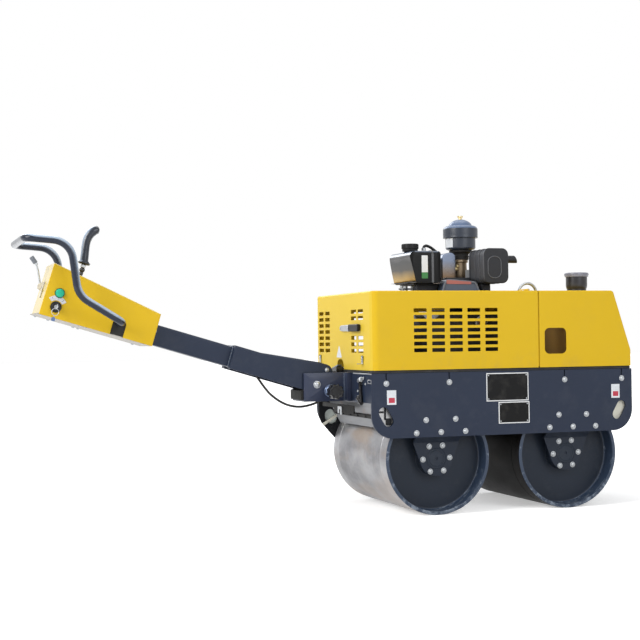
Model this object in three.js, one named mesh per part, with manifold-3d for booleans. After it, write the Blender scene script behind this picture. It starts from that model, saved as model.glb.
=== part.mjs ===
// Walk-behind double drum roller: two smooth steel drums hung between two side plates,
// a sheet-metal engine hood, an air-cooled engine and a hinged guide handle with a console.
// Millimetres, +X forward, +Z up, the ground at Z = 0, the right-hand side towards -Y.
import * as THREE from "three";
import { mergeVertices } from "three/addons/utils/BufferGeometryUtils.js";
import Module from "manifold-3d";

const wasm = await Module();
wasm.setup();

// ---------- driving dimensions ----------
const seat = 0.3; // gap between two pieces that touch
const running = 5.5; // gap between a moving piece and a fixed one

// drums
const drumRadius = 212.5;
const drumWidth = 600;
const wheelbase = 550;
const drumShell = 14;
const discRecess = 63; // rim edge to end disc
const discThickness = 12;
const discBossRadius = 66;
const discBossHeight = 5;
const shaftRadius = 34;
const shaftClearance = 0.6;

// chassis: heights are built up from the tops of the drums
const deckClearance = 83; // drum top to deck top
const deckThickness = 8;
const sillHeight = 32; // deck top to the side plates' top edge
const crossPlateHeight = 111;
const crossPlateThickness = 12;
const beamWidth = 120;
const beamWall = 8;
const beamDepth = 58;
const deckTop = 2 * drumRadius + deckClearance;

// side plates
const plateThickness = 10;
const drumSideGap = 15; // rim edge to side plate
const plateOuterY = drumWidth / 2 + drumSideGap + plateThickness;
const plateLength = 1100;
const plateHeight = 243;
const plateTop = deckTop + sillHeight;
const plateBottom = plateTop - plateHeight;
const crossPlateBottom = plateTop - crossPlateHeight;
const plateCorner = 85;
const tieSlotWidth = 30;
const tieSlotInset = 51; // plate end to the slot's outer end
const tieSlotRise = 91; // plate bottom to the slot's upper end
const boltSlotWidth = 4;
const topBoltDrop = 38;
const topBoltZ = plateTop - topBoltDrop;
const topBolts = [-491, -236, 252, 504];

// drum hangers and their hubs
const hangerThickness = 9;
const hangerInset = 18; // rim edge to the hanger's outer face
const hangerTopWidth = 250;
const hangerWaist = 188;
const hangerNose = 67;
const hangerWaistDrop = 23; // below the side plate's lower edge
const hangerOverlap = 105; // behind the side plate
const hangerCrankHeight = 28;
const hangerBendZ = plateBottom - hangerWaistDrop;
const hubFlangeRadius = 64;
const spigotRadius = 39;
const shaftLength = 45;

// scrapers
const scraperThickness = 6;
const scraperAngle = 28; // above the horizontal, seen from the drum's axis
const scraperFoldDrop = 71.3; // deck top to the fold
const scraperWidth = 580;
const scraperHeadroom = 12; // deck to the plate's upper edge
const stripThickness = 5;
const stripWidth = 16;
const stripDrop = 62; // from the scraper's fold

// hood
const sheet = 3;
const sealHeight = 11;
const sealWidth = 18;
const hoodHalfWidth = 330;
const hoodHeight = 297;
const hoodBottom = plateTop + sealHeight;
const hoodTop = hoodBottom + hoodHeight;
const hoodEndInset = 3; // end of the side plates to the hood's end wall
const hoodRear = -plateLength / 2 + hoodEndInset;
const hoodFront = plateLength / 2 - hoodEndInset - 1;
const hoodSplit = 141;
const splitGap = 5.4; // open seam between the rear hood and the front cover
const hoodBend = 28;
const frontBend = 14;
const slantRun = 75;
const slantRise = 63;
const slantTopX = hoodFront - slantRun;
const slantBottomZ = hoodBottom + slantRise;
const rearRim = 87;
const sideRim = 115;
const frontRim = 29;
const rimCorner = 20;
const slotLength = 53;
const slotHeight = 14.5;
const slotPitchX = 73.3;
const slotPitchZ = 25;
const slotRows = 7;
const slotColumns = 5;
const slotInset = 168; // hood's rear wall to the first slot
const slotRise = 66; // hood's lower edge to the lowest slot
const rearSlotLength = 58;
const rearSlotPitch = 77;
const rearSlotStarts = [154, -235];
const windowInset = 25; // seam to the window
const windowLength = 94;
const windowRise = 52;
const windowHeight = 100;
const windowCorner = 20;
const hingeInset = 120; // side wall to the hinge
const hingeY = hoodHalfWidth - hingeInset;
const hingeLength = 80;
const hingeRadius = 5;
const hingeLeaf = 26;
const hingeThickness = 2.5;
const hingeZ = hoodTop + seat + hingeRadius;
const archY = 29;
const archWidth = 80;
const archHeight = 40;
const latchLength = 234;
const latchY = -96;
const latchRise = 161;
const latchPlateHeight = 24;
const latchPlateThickness = 3;
const latchGripHeight = 28;
const latchGripDepth = 14;
const latchZ = hoodBottom + latchRise;

// engine: heights are built up from the deck
const engineX = -62;
const engineY = -20;
const railHeight = 37;
const railWidth = 36;
const railLength = 380;
const crankcaseRear = 165; // from the cylinder's axis
const crankcaseFront = 150;
const crankcaseHalf = 120;
const crankcaseHeight = 225;
const barrelRadius = 52;
const barrelHeight = 76;
const finHalf = 78;
const finPitch = 11;
const finThickness = 4;
const headHalfX = 84;
const headHalfY = 90;
const headHeight = 34;
const blockBottom = deckTop + railHeight;
const blockTop = blockBottom + crankcaseHeight;
const headBottom = blockTop + barrelHeight;
const headTop = headBottom + headHeight;
const rockerLength = 60;
const rockerHeight = 136;
const rockerNear = -42; // from the cylinder's axis
const rockerFar = 80;
const shroudDepth = 44;
const shroudRear = 140;
const shroudFront = 60;
const shroudDrop = 46; // below the head
const shroudRise = 22; // above the head
const flywheelRadius = 118;
const flywheelDepth = 62;
const flywheelRim = 40;
const flywheelRise = 104;
const intakeHeight = 112;
const intakeX = engineX + 21;
const cleanerX = engineX + 25;
const cleanerY = engineY + 15;
const neckHeight = 35;
const neckRadius = 40;
const bowlHeight = 44;
const bowlRadius = 60.5;
const capOverhang = 10;
const capLap = 8; // the bowl's rim inside the cap
const capShoulder = 53; // above the cap's lower edge
const domeHeight = 20;
const studHeight = 20;
const neckBottom = headTop + intakeHeight;
const bowlBottom = neckBottom + neckHeight;
const capBottom = bowlBottom + bowlHeight;

// fuel tank
const tankGap = 34; // tank to cylinder head
const tankLength = 141;
const tankWidth = 229;
const tankNear = engineY - 130;
const tankRise = 5; // above the top of the head
const tankHeight = 125;
const tankSlope = 28; // the rear face's lean towards the bottom
const tankCorner = 22;
const tankCapInset = 45;
const tankCapOffset = 100;
const fuelNeckHeight = 3;
const fuelNeckRadius = 24;
const fuelCapRadius = 34;
const fuelCapHeight = 30;
const tankFront = engineX - headHalfX - tankGap;
const tankRear = tankFront - tankLength;
const tankFar = tankNear + tankWidth;
const tankBottom = headTop + tankRise;
const tankTop = tankBottom + tankHeight;
const tankCapX = tankRear + tankCapInset;
const tankCapY = tankNear + tankCapOffset;

// muffler
const mufflerRear = engineX + 35;
const mufflerLength = 113;
const mufflerNear = engineY - 180;
const mufflerDepth = 137;
const mufflerRise = 3; // above the head
const mufflerHeight = 135;
const mufflerCorner = 24;
const mufflerRibs = 3;
const ribPitch = 38;
const outletLength = 63;
const outletRise = 97;

// handle: heights are taken from the pivot
const pivotReach = 130; // from the chassis' rear face
const pivotRise = 65; // above the clevis' lower edge
const handleSlope = 16.6; // degrees, at rest
const pinRadius = 12;
const pinClearance = 0.5;
const armHalfWidth = 62;
const armSideGap = 6;
const armWall = 6;
const armLength = 348;
const armNose = 55;
const armSkirt = 6.6; // below the beam
const armShoulder = 87;
const armTopSetback = 25; // the top plate stops short of the nose
const beamHalfWidth = 30;
const beamBottom = -25.4;
const beamHeight = 77.8;
const beamTop = beamBottom + beamHeight;
const tubeWall = 5;
const beamInArm = 70;
const armRear = -armLength;
const armBottom = beamBottom - armSkirt;
const armTop = beamTop + seat + armWall;
const clevisPlate = 8;
const clevisInner = armHalfWidth + armSideGap;
const clevisHeight = 110;
const clevisTail = 52; // pivot to the ears' rear edge
const clevisFlange = 18;
const clevisFlangeLap = 31; // beyond the ears
const clevisStrip = 12;
const clevisBottom = crossPlateBottom + 2;
const clevisTop = clevisBottom + clevisHeight;
const pivotX = -plateLength / 2 - pivotReach;
const pivotZ = clevisBottom + pivotRise;

// console
const consoleHalfWidth = 115;
const consoleReach = 665; // pivot to the console's front wall
const consoleLength = 427;
const consoleFrontHeight = 109.4;
const consoleRearHeight = 173.4;
const consoleSheet = 3;
const basePlateThickness = 4;
const consoleFront = -consoleReach;
const consoleRear = consoleFront - consoleLength;
const consoleBottom = beamBottom;
const consoleFrontTop = consoleBottom + consoleFrontHeight;
const consoleRearTop = consoleBottom + consoleRearHeight;

// loop handlebar
const loopHalfWidth = 200;
const loopRadius = 14;
const loopSetback = 141; // console's front wall to the loop's foot
const loopFootX = consoleFront - loopSetback;
const loopFootZ = (beamBottom + beamTop) / 2;
const footSlotHalf = 25;
const loopCorner = 34;
const loopKneeRun = 180;
const loopKneeRise = 48.5;
const loopShoulderRun = 79;
const loopShoulderRise = 176;
const loopGripRun = 155;
const loopGripDrop = 33;
const loopKneeX = loopFootX - loopKneeRun;
const loopKneeZ = loopFootZ + loopKneeRise;
const loopKneeBend = 85;
const loopShoulderX = loopKneeX - loopShoulderRun;
const loopShoulderZ = loopKneeZ + loopShoulderRise;
const loopShoulderBend = 75;
const loopGripX = loopShoulderX - loopGripRun;
const loopGripZ = loopShoulderZ - loopGripDrop;
const beamTail = 192; // beyond the loop's foot
const beamRear = loopFootX - beamTail;

// controls and small fittings
const liftX = 263;
const liftRadius = 37;
const liftWire = 9;
const liftRise = 2; // hood top to the ring's centre
const liftFootHalf = 34;
const liftFootWidth = 90;
const liftFootHeight = 10;
const liftCentreZ = hoodTop + liftRise;
const waterTankGap = 42; // lifting eye's axis to the water tank
const waterTankRear = liftX + waterTankGap;
const waterTankSide = 28; // side plate to the water tank
const waterTankFront = 45;
const waterTankRoom = 12; // below the cover
const neckX = waterTankRear + 92;
const neckY = -170;
const neckHoleRadius = 45;
const neckClearance = 2.5;
const neckWall = 4;
const fillerHeight = 66; // above the hood
const fillerCapHeight = 11;
const fillerCapSkirt = 6;
const fillerCapRadius = 47.5;
const leverSetback = 167; // loop's foot to the lever
const leverX = loopFootX - leverSetback;
const leverRodHeight = 142;
const leverDiscRadius = 23;
const leverGripRadius = 16;
const leverGripHeight = 136;
const throttleY = 10;
const throttleReach = 72;
const throttleRise = 109;
const buttonInset = 51; // console's rear edge to the button
const buttonRise = 82.4; // above the console's lower edge
const keyRise = 30.4;
const switchRadius = 18;
const knobSetback = 80; // chassis' rear face to the lock knob
const knobDrop = 25; // below the pivot
const knobCollarRadius = 21;
const knobCollar = 22;
const knobRadius = 25;
const knobLength = 62;
const knobX = -plateLength / 2 - knobSetback;
const knobZ = pivotZ - knobDrop;
const glandRise = 19; // above the clevis' lower edge
const glandZ = clevisBottom + glandRise;
const glandRadius = 9;
const glandLength = 20;
const cableRadius = 4.5;

// ---------- shape helpers ----------
const deg = Math.PI / 180;
const arcStep = 23; // the largest turn between two facets of a fillet, in degrees

function toSolid(geometry) {
  const bare = geometry.index ? geometry.toNonIndexed() : geometry.clone();
  bare.deleteAttribute("normal");
  bare.deleteAttribute("uv");
  const merged = mergeVertices(bare, 1e-3);
  const kept = [];
  const index = merged.index.array;
  for (let i = 0; i < index.length; i += 3) {
    const [a, b, c] = [index[i], index[i + 1], index[i + 2]];
    if (a !== b && b !== c && c !== a) kept.push(a, b, c);
  }
  return new wasm.Manifold(
    new wasm.Mesh({
      numProp: 3,
      vertProperties: merged.attributes.position.array,
      triVerts: new Uint32Array(kept),
    }),
  );
}

function toGeometry(solid) {
  const mesh = solid.getMesh();
  const geometry = new THREE.BufferGeometry();
  geometry.setAttribute("position", new THREE.BufferAttribute(mesh.vertProperties, 3));
  geometry.setIndex(new THREE.BufferAttribute(mesh.triVerts, 1));
  return geometry;
}

function join(...geometries) {
  const [first, ...rest] = geometries.map(toSolid);
  return toGeometry(rest.reduce((body, other) => body.add(other), first));
}

function cut(geometry, ...tools) {
  return toGeometry(tools.map(toSolid).reduce((body, tool) => body.subtract(tool), toSolid(geometry)));
}

function common(a, b) {
  return toGeometry(toSolid(a).intersect(toSolid(b)));
}

function box(x0, x1, y0, y1, z0, z1) {
  const geometry = new THREE.BoxGeometry(x1 - x0, y1 - y0, z1 - z0);
  return geometry.translate((x0 + x1) / 2, (y0 + y1) / 2, (z0 + z1) / 2);
}

function extrude(shape, depth, curveSegments) {
  return new THREE.ExtrudeGeometry(shape, { depth, bevelEnabled: false, curveSegments });
}

// A shape drawn in X and Z, extruded along Y from y0 to y1.
function plateXZ(shape, y0, y1, curveSegments = 8) {
  return extrude(shape, y1 - y0, curveSegments).rotateX(Math.PI / 2).translate(0, y1, 0);
}

// A shape drawn in Y and Z, extruded along X from x0 to x1.
function plateYZ(shape, x0, x1, curveSegments = 8) {
  const turn = new THREE.Matrix4().set(0, 0, 1, x0, 1, 0, 0, 0, 0, 1, 0, 0, 0, 0, 0, 1);
  return extrude(shape, x1 - x0, curveSegments).applyMatrix4(turn);
}

// A shape drawn in X and Y, extruded along Z from z0 to z1.
function plateXY(shape, z0, z1, curveSegments = 8) {
  return extrude(shape, z1 - z0, curveSegments).translate(0, 0, z0);
}

// A closed outline of corners [a, b, radius]; the radius may be left out.
function outline(corners) {
  const shape = new THREE.Shape();
  corners.forEach(([a, b, radius = 0], i) => {
    const corner = new THREE.Vector2(a, b);
    const before = new THREE.Vector2(...corners[(i + corners.length - 1) % corners.length]);
    const after = new THREE.Vector2(...corners[(i + 1) % corners.length]);
    const start = radius ? roundStart(corner, before, after, radius) : corner;
    const end = radius ? roundStart(corner, after, before, radius) : corner;
    if (i === 0) shape.moveTo(start.x, start.y);
    else shape.lineTo(start.x, start.y);
    if (radius) addArc(shape, start, corner, end);
  });
  return shape;
}

// Where a fillet of this radius leaves the edge from a corner towards `along`.
function roundStart(corner, along, other, radius) {
  const u = along.clone().sub(corner).normalize();
  const v = other.clone().sub(corner).normalize();
  const reach = radius / Math.tan(Math.acos(THREE.MathUtils.clamp(u.dot(v), -1, 1)) / 2);
  return corner.clone().addScaledVector(u, reach);
}

// A fillet arc from start to end around the corner, in equal steps.
function addArc(shape, start, corner, end) {
  const bisector = start.clone().add(end).sub(corner.clone().multiplyScalar(2));
  const half = bisector.clone().normalize().angleTo(start.clone().sub(corner));
  const reach = start.distanceTo(corner);
  const centre = corner.clone().addScaledVector(bisector.normalize(), reach / Math.cos(half));
  const from = start.clone().sub(centre);
  const sweep = Math.atan2(from.cross(end.clone().sub(centre)), from.dot(end.clone().sub(centre)));
  const steps = Math.max(2, Math.ceil(Math.abs(sweep) / (arcStep * deg)));
  for (let i = 1; i <= steps; i++) {
    const p = from.clone().rotateAround(new THREE.Vector2(), (sweep * i) / steps).add(centre);
    shape.lineTo(p.x, p.y);
  }
}

function rectangle(a0, a1, b0, b1, radius = 0) {
  return outline([[a0, b0, radius], [a1, b0, radius], [a1, b1, radius], [a0, b1, radius]]);
}

// A revolved closed profile of [radius, height] corners about the vertical axis.
function revolve(profile, segments = 32) {
  const loop = profile.map(([r, h]) => new THREE.Vector2(r, h));
  if (THREE.ShapeUtils.area(loop) < 0) loop.reverse();
  const onAxis = loop.findIndex((p, i) => p.x === 0 && loop[(i + 1) % loop.length].x === 0);
  const open = onAxis < 0 ? [...loop, loop[0]] : [...loop.slice(onAxis + 1), ...loop.slice(0, onAxis + 1)];
  return new THREE.LatheGeometry(open, segments);
}

const alongZ = (geometry) => geometry.rotateX(Math.PI / 2);
const alongX = (geometry) => geometry.rotateZ(-Math.PI / 2);

function rodY(radius, y0, y1, x, z, segments = 24) {
  const rod = new THREE.CylinderGeometry(radius, radius, y1 - y0, segments);
  return rod.translate(x, (y0 + y1) / 2, z);
}

function rodZ(radius, z0, z1, x, y, segments = 24) {
  return alongZ(new THREE.CylinderGeometry(radius, radius, z1 - z0, segments)).translate(x, y, (z0 + z1) / 2);
}

function rodX(radius, x0, x1, y, z, segments = 24) {
  return alongX(new THREE.CylinderGeometry(radius, radius, x1 - x0, segments)).translate((x0 + x1) / 2, y, z);
}

// A round tube or rod swept along a path.
function sweep(path, radius, steps, sides = 12) {
  const section = new THREE.Shape(
    Array.from({ length: sides }, (_, i) => {
      const angle = (i / sides) * 2 * Math.PI;
      return new THREE.Vector2(radius * Math.cos(angle), radius * Math.sin(angle));
    }),
  );
  return new THREE.ExtrudeGeometry(section, { steps, extrudePath: path, bevelEnabled: false });
}

const mirrorY = (geometry) => toGeometry(toSolid(geometry).mirror([0, 1, 0]));
const mirrorX = (geometry) => toGeometry(toSolid(geometry).mirror([1, 0, 0]));

// ---------- finishes ----------
const finish = (color, roughness, metalness) => ({ color, roughness, metalness });
const frameBlue = finish(0x3a4252, 0.5, 0.1);
const drumSteel = finish(0xa5a5aa, 0.4, 0.8);
const hoodYellow = finish(0xddb82e, 0.45, 0.0);
const zinc = finish(0xc4c6c8, 0.35, 0.9);
const blackRubber = finish(0x16171a, 0.8, 0.0);
const blackPaint = finish(0x1d1f23, 0.45, 0.1);
const castAluminium = finish(0x9b9c9d, 0.5, 0.8);
const tubeBlue = finish(0x2d3748, 0.2, 0.1);

const machine = new THREE.Group();

function add(parent, name, geometry, look) {
  const mesh = new THREE.Mesh(geometry, new THREE.MeshStandardMaterial(look));
  mesh.name = name;
  parent.add(mesh);
  return mesh;
}

// ---------- drums ----------
// One revolved shell with an end disc set back from each rim; the bores leave it open inside.
function drum() {
  const rim = drumWidth / 2;
  const disc = rim - discRecess;
  const inner = drumRadius - drumShell;
  const bore = shaftRadius + shaftClearance;
  const half = [
    [drumRadius, rim],
    [inner, rim],
    [inner, disc],
    [discBossRadius, disc],
    [discBossRadius, disc + discBossHeight],
    [bore, disc + discBossHeight],
    [bore, disc - discThickness],
    [inner, disc - discThickness],
  ];
  const mirrored = half.map(([r, y]) => [r, -y]).reverse();
  return revolve([...half, ...mirrored], 48);
}

const axles = { rear: -wheelbase / 2, front: wheelbase / 2 };
for (const [end, x] of Object.entries(axles))
  add(machine, `drum_${end}`, drum(), drumSteel).position.set(x, 0, drumRadius);

// ---------- drum hangers ----------
const plateInnerY = plateOuterY - plateThickness;
const hangerOuterY = drumWidth / 2 - hangerInset;
const hangerTopY = plateInnerY - seat;
const hangerInnerY = hangerOuterY - hangerThickness;

// Seen from the side: wide behind the side plate, a waist, then tangents to the nose round the axle.
function hangerSide() {
  const top = plateBottom + hangerOverlap - drumRadius;
  const shoulder = plateBottom - drumRadius;
  const waist = hangerBendZ - drumRadius;
  const reach = Math.hypot(hangerWaist / 2, waist);
  const tangent = Math.atan2(waist, hangerWaist / 2) - Math.acos(hangerNose / reach);
  const side = new THREE.Shape();
  side.moveTo(-hangerTopWidth / 2, top);
  side.lineTo(-hangerTopWidth / 2, shoulder + 12);
  side.lineTo(-hangerWaist / 2, shoulder);
  side.lineTo(-hangerWaist / 2, waist);
  side.absarc(0, 0, hangerNose, Math.PI - tangent, 2 * Math.PI + tangent, false);
  side.lineTo(hangerWaist / 2, waist);
  side.lineTo(hangerWaist / 2, shoulder);
  side.lineTo(hangerTopWidth / 2, shoulder + 12);
  side.lineTo(hangerTopWidth / 2, top);
  return side;
}

// Seen from the end: the plate is cranked inwards so that its lower half sits inside the rim.
function hangerCrank() {
  const top = plateBottom + hangerOverlap;
  const upperBend = hangerBendZ + hangerCrankHeight;
  const turn = Math.atan2(hangerTopY - hangerOuterY, hangerCrankHeight);
  const rise = hangerThickness * Math.tan(turn / 2);
  return outline([
    [hangerTopY, top],
    [hangerTopY, upperBend],
    [hangerOuterY, hangerBendZ],
    [hangerOuterY, drumRadius - hangerNose - 10],
    [hangerInnerY, drumRadius - hangerNose - 10],
    [hangerInnerY, hangerBendZ + rise],
    [hangerTopY - hangerThickness, upperBend + rise],
    [hangerTopY - hangerThickness, top],
  ]);
}

function hanger() {
  const side = plateXZ(hangerSide(), hangerInnerY - 20, hangerTopY + 20, 10).translate(0, 0, drumRadius);
  const crank = plateYZ(hangerCrank(), -hangerTopWidth, hangerTopWidth);
  const hole = rodY(spigotRadius + seat, hangerInnerY - 1, hangerOuterY + 1, 0, drumRadius, 24);
  return cut(common(side, crank), hole);
}

// Flange, spigot and stub shaft in one turned piece, from the outer face inwards.
function hub() {
  const disc = drumWidth / 2 - discRecess;
  const flangeInner = disc + discBossHeight + running;
  return revolve(
    [
      [0, hangerOuterY],
      [spigotRadius, hangerOuterY],
      [spigotRadius, hangerInnerY - seat],
      [hubFlangeRadius, hangerInnerY - seat],
      [hubFlangeRadius, flangeInner],
      [shaftRadius, flangeInner],
      [shaftRadius, flangeInner - shaftLength],
      [0, flangeInner - shaftLength],
    ],
    24,
  );
}

for (const [end, x] of Object.entries(axles)) {
  add(machine, `hanger_${end}_left`, hanger(), frameBlue).position.set(x, 0, 0);
  add(machine, `hanger_${end}_right`, mirrorY(hanger()), frameBlue).position.set(x, 0, 0);
  add(machine, `hub_${end}_left`, hub(), frameBlue).position.set(x, 0, drumRadius);
  add(machine, `hub_${end}_right`, mirrorY(hub()), frameBlue).position.set(x, 0, drumRadius);
}

// ---------- side plates ----------
function tieSlot(x0, z0, x1, z1) {
  const angle = Math.atan2(z1 - z0, x1 - x0);
  const slot = new THREE.Shape();
  slot.absarc(x1, z1, tieSlotWidth / 2, angle - Math.PI / 2, angle + Math.PI / 2, false);
  slot.absarc(x0, z0, tieSlotWidth / 2, angle + Math.PI / 2, angle + (3 * Math.PI) / 2, false);
  return plateXZ(slot, plateInnerY - 1, plateOuterY + 1, 6);
}

function sidePlate() {
  const half = plateLength / 2;
  const blank = plateXZ(
    outline([
      [-half, plateTop],
      [-half, plateBottom, plateCorner],
      [half, plateBottom, plateCorner],
      [half, plateTop],
    ]),
    plateInnerY,
    plateOuterY,
  );
  const slotHalf = boltSlotWidth / 2;
  const slots = topBolts.map((x) =>
    box(x - slotHalf, x + slotHalf, plateInnerY - 1, plateOuterY + 1, topBoltZ, plateTop + 1),
  );
  const tieTop = plateBottom + tieSlotRise;
  const ties = [
    tieSlot(-half + tieSlotInset, tieTop, -half + tieSlotInset + 14, tieTop - 20),
    tieSlot(half - tieSlotInset, tieTop, half - tieSlotInset - 14, tieTop - 20),
  ];
  return cut(blank, ...slots, ...ties);
}

add(machine, "side_plate_left", sidePlate(), frameBlue);
add(machine, "side_plate_right", mirrorY(sidePlate()), frameBlue);

// ---------- chassis between the side plates ----------
const innerHalf = plateInnerY - seat;
const chassisRear = -plateLength / 2;

function crossPlate() {
  const front = chassisRear + crossPlateThickness;
  return box(chassisRear, front, -innerHalf, innerHalf, crossPlateBottom, plateTop);
}

add(machine, "cross_plate_rear", crossPlate(), frameBlue);
add(machine, "cross_plate_front", mirrorX(crossPlate()), frameBlue);

const deckEnd = plateLength / 2 - crossPlateThickness - seat;
add(
  machine,
  "deck",
  box(-deckEnd, deckEnd, -innerHalf, innerHalf, deckTop - deckThickness, deckTop),
  frameBlue,
);

// An inverted channel under the middle of the deck, over the gap between the drums.
function centreBeam() {
  const top = deckTop - deckThickness - seat;
  const half = beamWidth / 2;
  return plateXZ(
    outline([
      [-half, top - beamDepth],
      [-half, top],
      [half, top],
      [half, top - beamDepth],
      [half - beamWall, top - beamDepth],
      [half - beamWall, top - beamWall],
      [-half + beamWall, top - beamWall],
      [-half + beamWall, top - beamDepth],
    ]),
    -innerHalf,
    innerHalf,
  );
}
add(machine, "centre_beam", centreBeam(), frameBlue);

// ---------- scrapers ----------
// A folded plate on the inner face of the end cross plate, its lower edge along the drum.
const scraperTip = new THREE.Vector2(
  axles.rear - (drumRadius + running) * Math.cos(scraperAngle * deg),
  drumRadius + (drumRadius + running) * Math.sin(scraperAngle * deg),
);
const scraperRoot = chassisRear + crossPlateThickness + seat;
const scraperFold = new THREE.Vector2(scraperRoot, deckTop - scraperFoldDrop);
const scraperRun = scraperTip.clone().sub(scraperFold);
const scraperOffset = Math.asin(scraperThickness / scraperRun.length());
const scraperLean = Math.atan2(scraperRun.x, -scraperRun.y) - scraperOffset;
const scraperDown = new THREE.Vector2(Math.sin(scraperLean), -Math.cos(scraperLean));
const scraperOut = new THREE.Vector2(scraperDown.y, -scraperDown.x);
const scraperEdge = scraperTip.clone().addScaledVector(scraperOut, scraperThickness);

function scraperPlate() {
  const top = deckTop - deckThickness - scraperHeadroom;
  const step = scraperThickness * Math.tan(scraperLean / 2);
  return plateXZ(
    outline([
      [scraperRoot, top],
      [scraperFold.x, scraperFold.y],
      [scraperEdge.x, scraperEdge.y],
      [scraperTip.x, scraperTip.y],
      [scraperRoot + scraperThickness, scraperFold.y + step],
      [scraperRoot + scraperThickness, top],
    ]),
    -scraperWidth / 2,
    scraperWidth / 2,
  );
}

// A rubber strip clamped on the outer side of the sloping plate.
function scraperStrip() {
  const start = scraperFold.clone().addScaledVector(scraperDown, stripDrop).addScaledVector(scraperOut, seat);
  const end = start.clone().addScaledVector(scraperDown, stripWidth);
  const outer = [end, start].map((p) => p.clone().addScaledVector(scraperOut, stripThickness));
  const corners = [start, end, ...outer].map((p) => [p.x, p.y]);
  return plateXZ(outline(corners), -scraperWidth / 2, scraperWidth / 2);
}

add(machine, "scraper_rear", scraperPlate(), drumSteel);
add(machine, "scraper_front", mirrorX(scraperPlate()), drumSteel);
add(machine, "scraper_strip_rear", scraperStrip(), blackRubber);
add(machine, "scraper_strip_front", mirrorX(scraperStrip()), blackRubber);

// ---------- hood ----------
const hoodInner = hoodHalfWidth - sheet;

// A rubber strip all round, between the chassis and the hood.
function hoodSeal() {
  const rear = hoodRear + 1;
  const front = hoodFront - 1;
  const half = plateOuterY - 1;
  const outer = plateXY(rectangle(rear, front, -half, half, 6), plateTop + seat, hoodBottom - seat);
  const inner = plateXY(
    rectangle(rear + sealWidth, front - sealWidth, -half + sealWidth, half - sealWidth, 4),
    plateTop - 5,
    hoodBottom + 5,
  );
  return cut(outer, inner);
}
add(machine, "hood_seal", hoodSeal(), blackRubber);

function sideSlots() {
  const slots = [];
  for (let column = 0; column < slotColumns; column++)
    for (let row = 0; row < slotRows; row++) {
      const x = hoodRear + slotInset + column * slotPitchX;
      const z = hoodBottom + slotRise + row * slotPitchZ;
      slots.push(box(x, x + slotLength, -hoodHalfWidth - 1, hoodHalfWidth + 1, z, z + slotHeight));
    }
  return slots;
}

// Two grilles of two columns in the rear wall; the latch takes two rows of the right-hand one.
function rearSlots() {
  const slots = [];
  for (const start of rearSlotStarts)
    for (let column = 0; column < 2; column++)
      for (let row = 0; row < slotRows; row++) {
        const y = start + column * rearSlotPitch;
        const z = hoodBottom + slotRise + row * slotPitchZ;
        const underLatch = y < latchY + latchLength / 2 && Math.abs(z + slotHeight / 2 - latchZ) < slotPitchZ;
        if (!underLatch)
          slots.push(box(hoodRear - 1, hoodRear + sheet + 1, y, y + rearSlotLength, z, z + slotHeight));
      }
  return slots;
}

function rearHood() {
  const front = hoodSplit - splitGap / 2;
  const outer = plateXY(
    outline([
      [hoodRear, -hoodHalfWidth, hoodBend],
      [front, -hoodHalfWidth],
      [front, hoodHalfWidth],
      [hoodRear, hoodHalfWidth, hoodBend],
    ]),
    hoodBottom,
    hoodTop,
  );
  const inner = plateXY(
    outline([
      [hoodRear + sheet, -hoodInner, hoodBend - sheet],
      [front + 1, -hoodInner],
      [front + 1, hoodInner],
      [hoodRear + sheet, hoodInner, hoodBend - sheet],
    ]),
    hoodBottom - 1,
    hoodTop - sheet,
  );
  const openingHalf = hoodHalfWidth - sideRim;
  const opening = plateXY(
    rectangle(hoodRear + rearRim, hoodSplit - frontRim, -openingHalf, openingHalf, rimCorner),
    hoodTop - sheet - 1,
    hoodTop + 1,
  );
  const arch = plateYZ(
    outline([
      [archY - archWidth / 2, hoodBottom - 1],
      [archY + archWidth / 2, hoodBottom - 1],
      [archY + archWidth / 2, hoodBottom + archHeight, archHeight * 0.8],
      [archY - archWidth / 2, hoodBottom + archHeight, archHeight * 0.8],
    ]),
    hoodRear - 1,
    hoodRear + sheet + 1,
  );
  return cut(outer, inner, opening, arch, ...sideSlots(), ...rearSlots());
}
add(machine, "hood_rear", rearHood(), hoodYellow);

// The side view of the front cover, with its slanted nose, drawn `inset` inside the outer sheet.
function coverSide(inset, bottom) {
  const rear = hoodSplit + splitGap / 2 + inset;
  const lean = Math.hypot(hoodFront - slantTopX, hoodTop - slantBottomZ) / (hoodTop - slantBottomZ);
  return outline([
    [rear, bottom],
    [hoodFront - inset, bottom],
    [hoodFront - inset, slantBottomZ - inset * 0.15, 6],
    [slantTopX + inset - inset * lean - inset * 0.32, hoodTop - inset, Math.max(frontBend - inset, 1)],
    [rear, hoodTop - inset],
  ]);
}

function frontCover() {
  const plan = plateXY(
    outline([
      [hoodSplit, -hoodHalfWidth],
      [hoodFront + 5, -hoodHalfWidth],
      [hoodFront + 5, hoodHalfWidth],
      [hoodSplit, hoodHalfWidth],
    ]),
    hoodBottom,
    hoodTop + 1,
  );
  const outer = common(plateXZ(coverSide(0, hoodBottom), -hoodHalfWidth, hoodHalfWidth), plan);
  const inner = plateXZ(coverSide(sheet, hoodBottom - 1), -hoodInner, hoodInner);
  const windowRear = hoodSplit + windowInset;
  const windowBottom = hoodBottom + windowRise;
  const panes = plateXZ(
    rectangle(windowRear, windowRear + windowLength, windowBottom, windowBottom + windowHeight, windowCorner),
    -hoodHalfWidth - 1,
    hoodHalfWidth + 1,
  );
  const neckHole = rodZ(neckHoleRadius, hoodTop - sheet - 1, hoodTop + 1, neckX, neckY, 24);
  const eyeReach = liftRadius + liftWire + 4;
  const eyeHalf = liftWire + 4;
  const under = hoodTop - sheet - 1;
  const eyeSlot = box(liftX - eyeReach, liftX + eyeReach, -eyeHalf, eyeHalf, under, hoodTop + 1);
  return cut(outer, inner, panes, neckHole, eyeSlot);
}
add(machine, "hood_front", frontCover(), hoodYellow);

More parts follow.
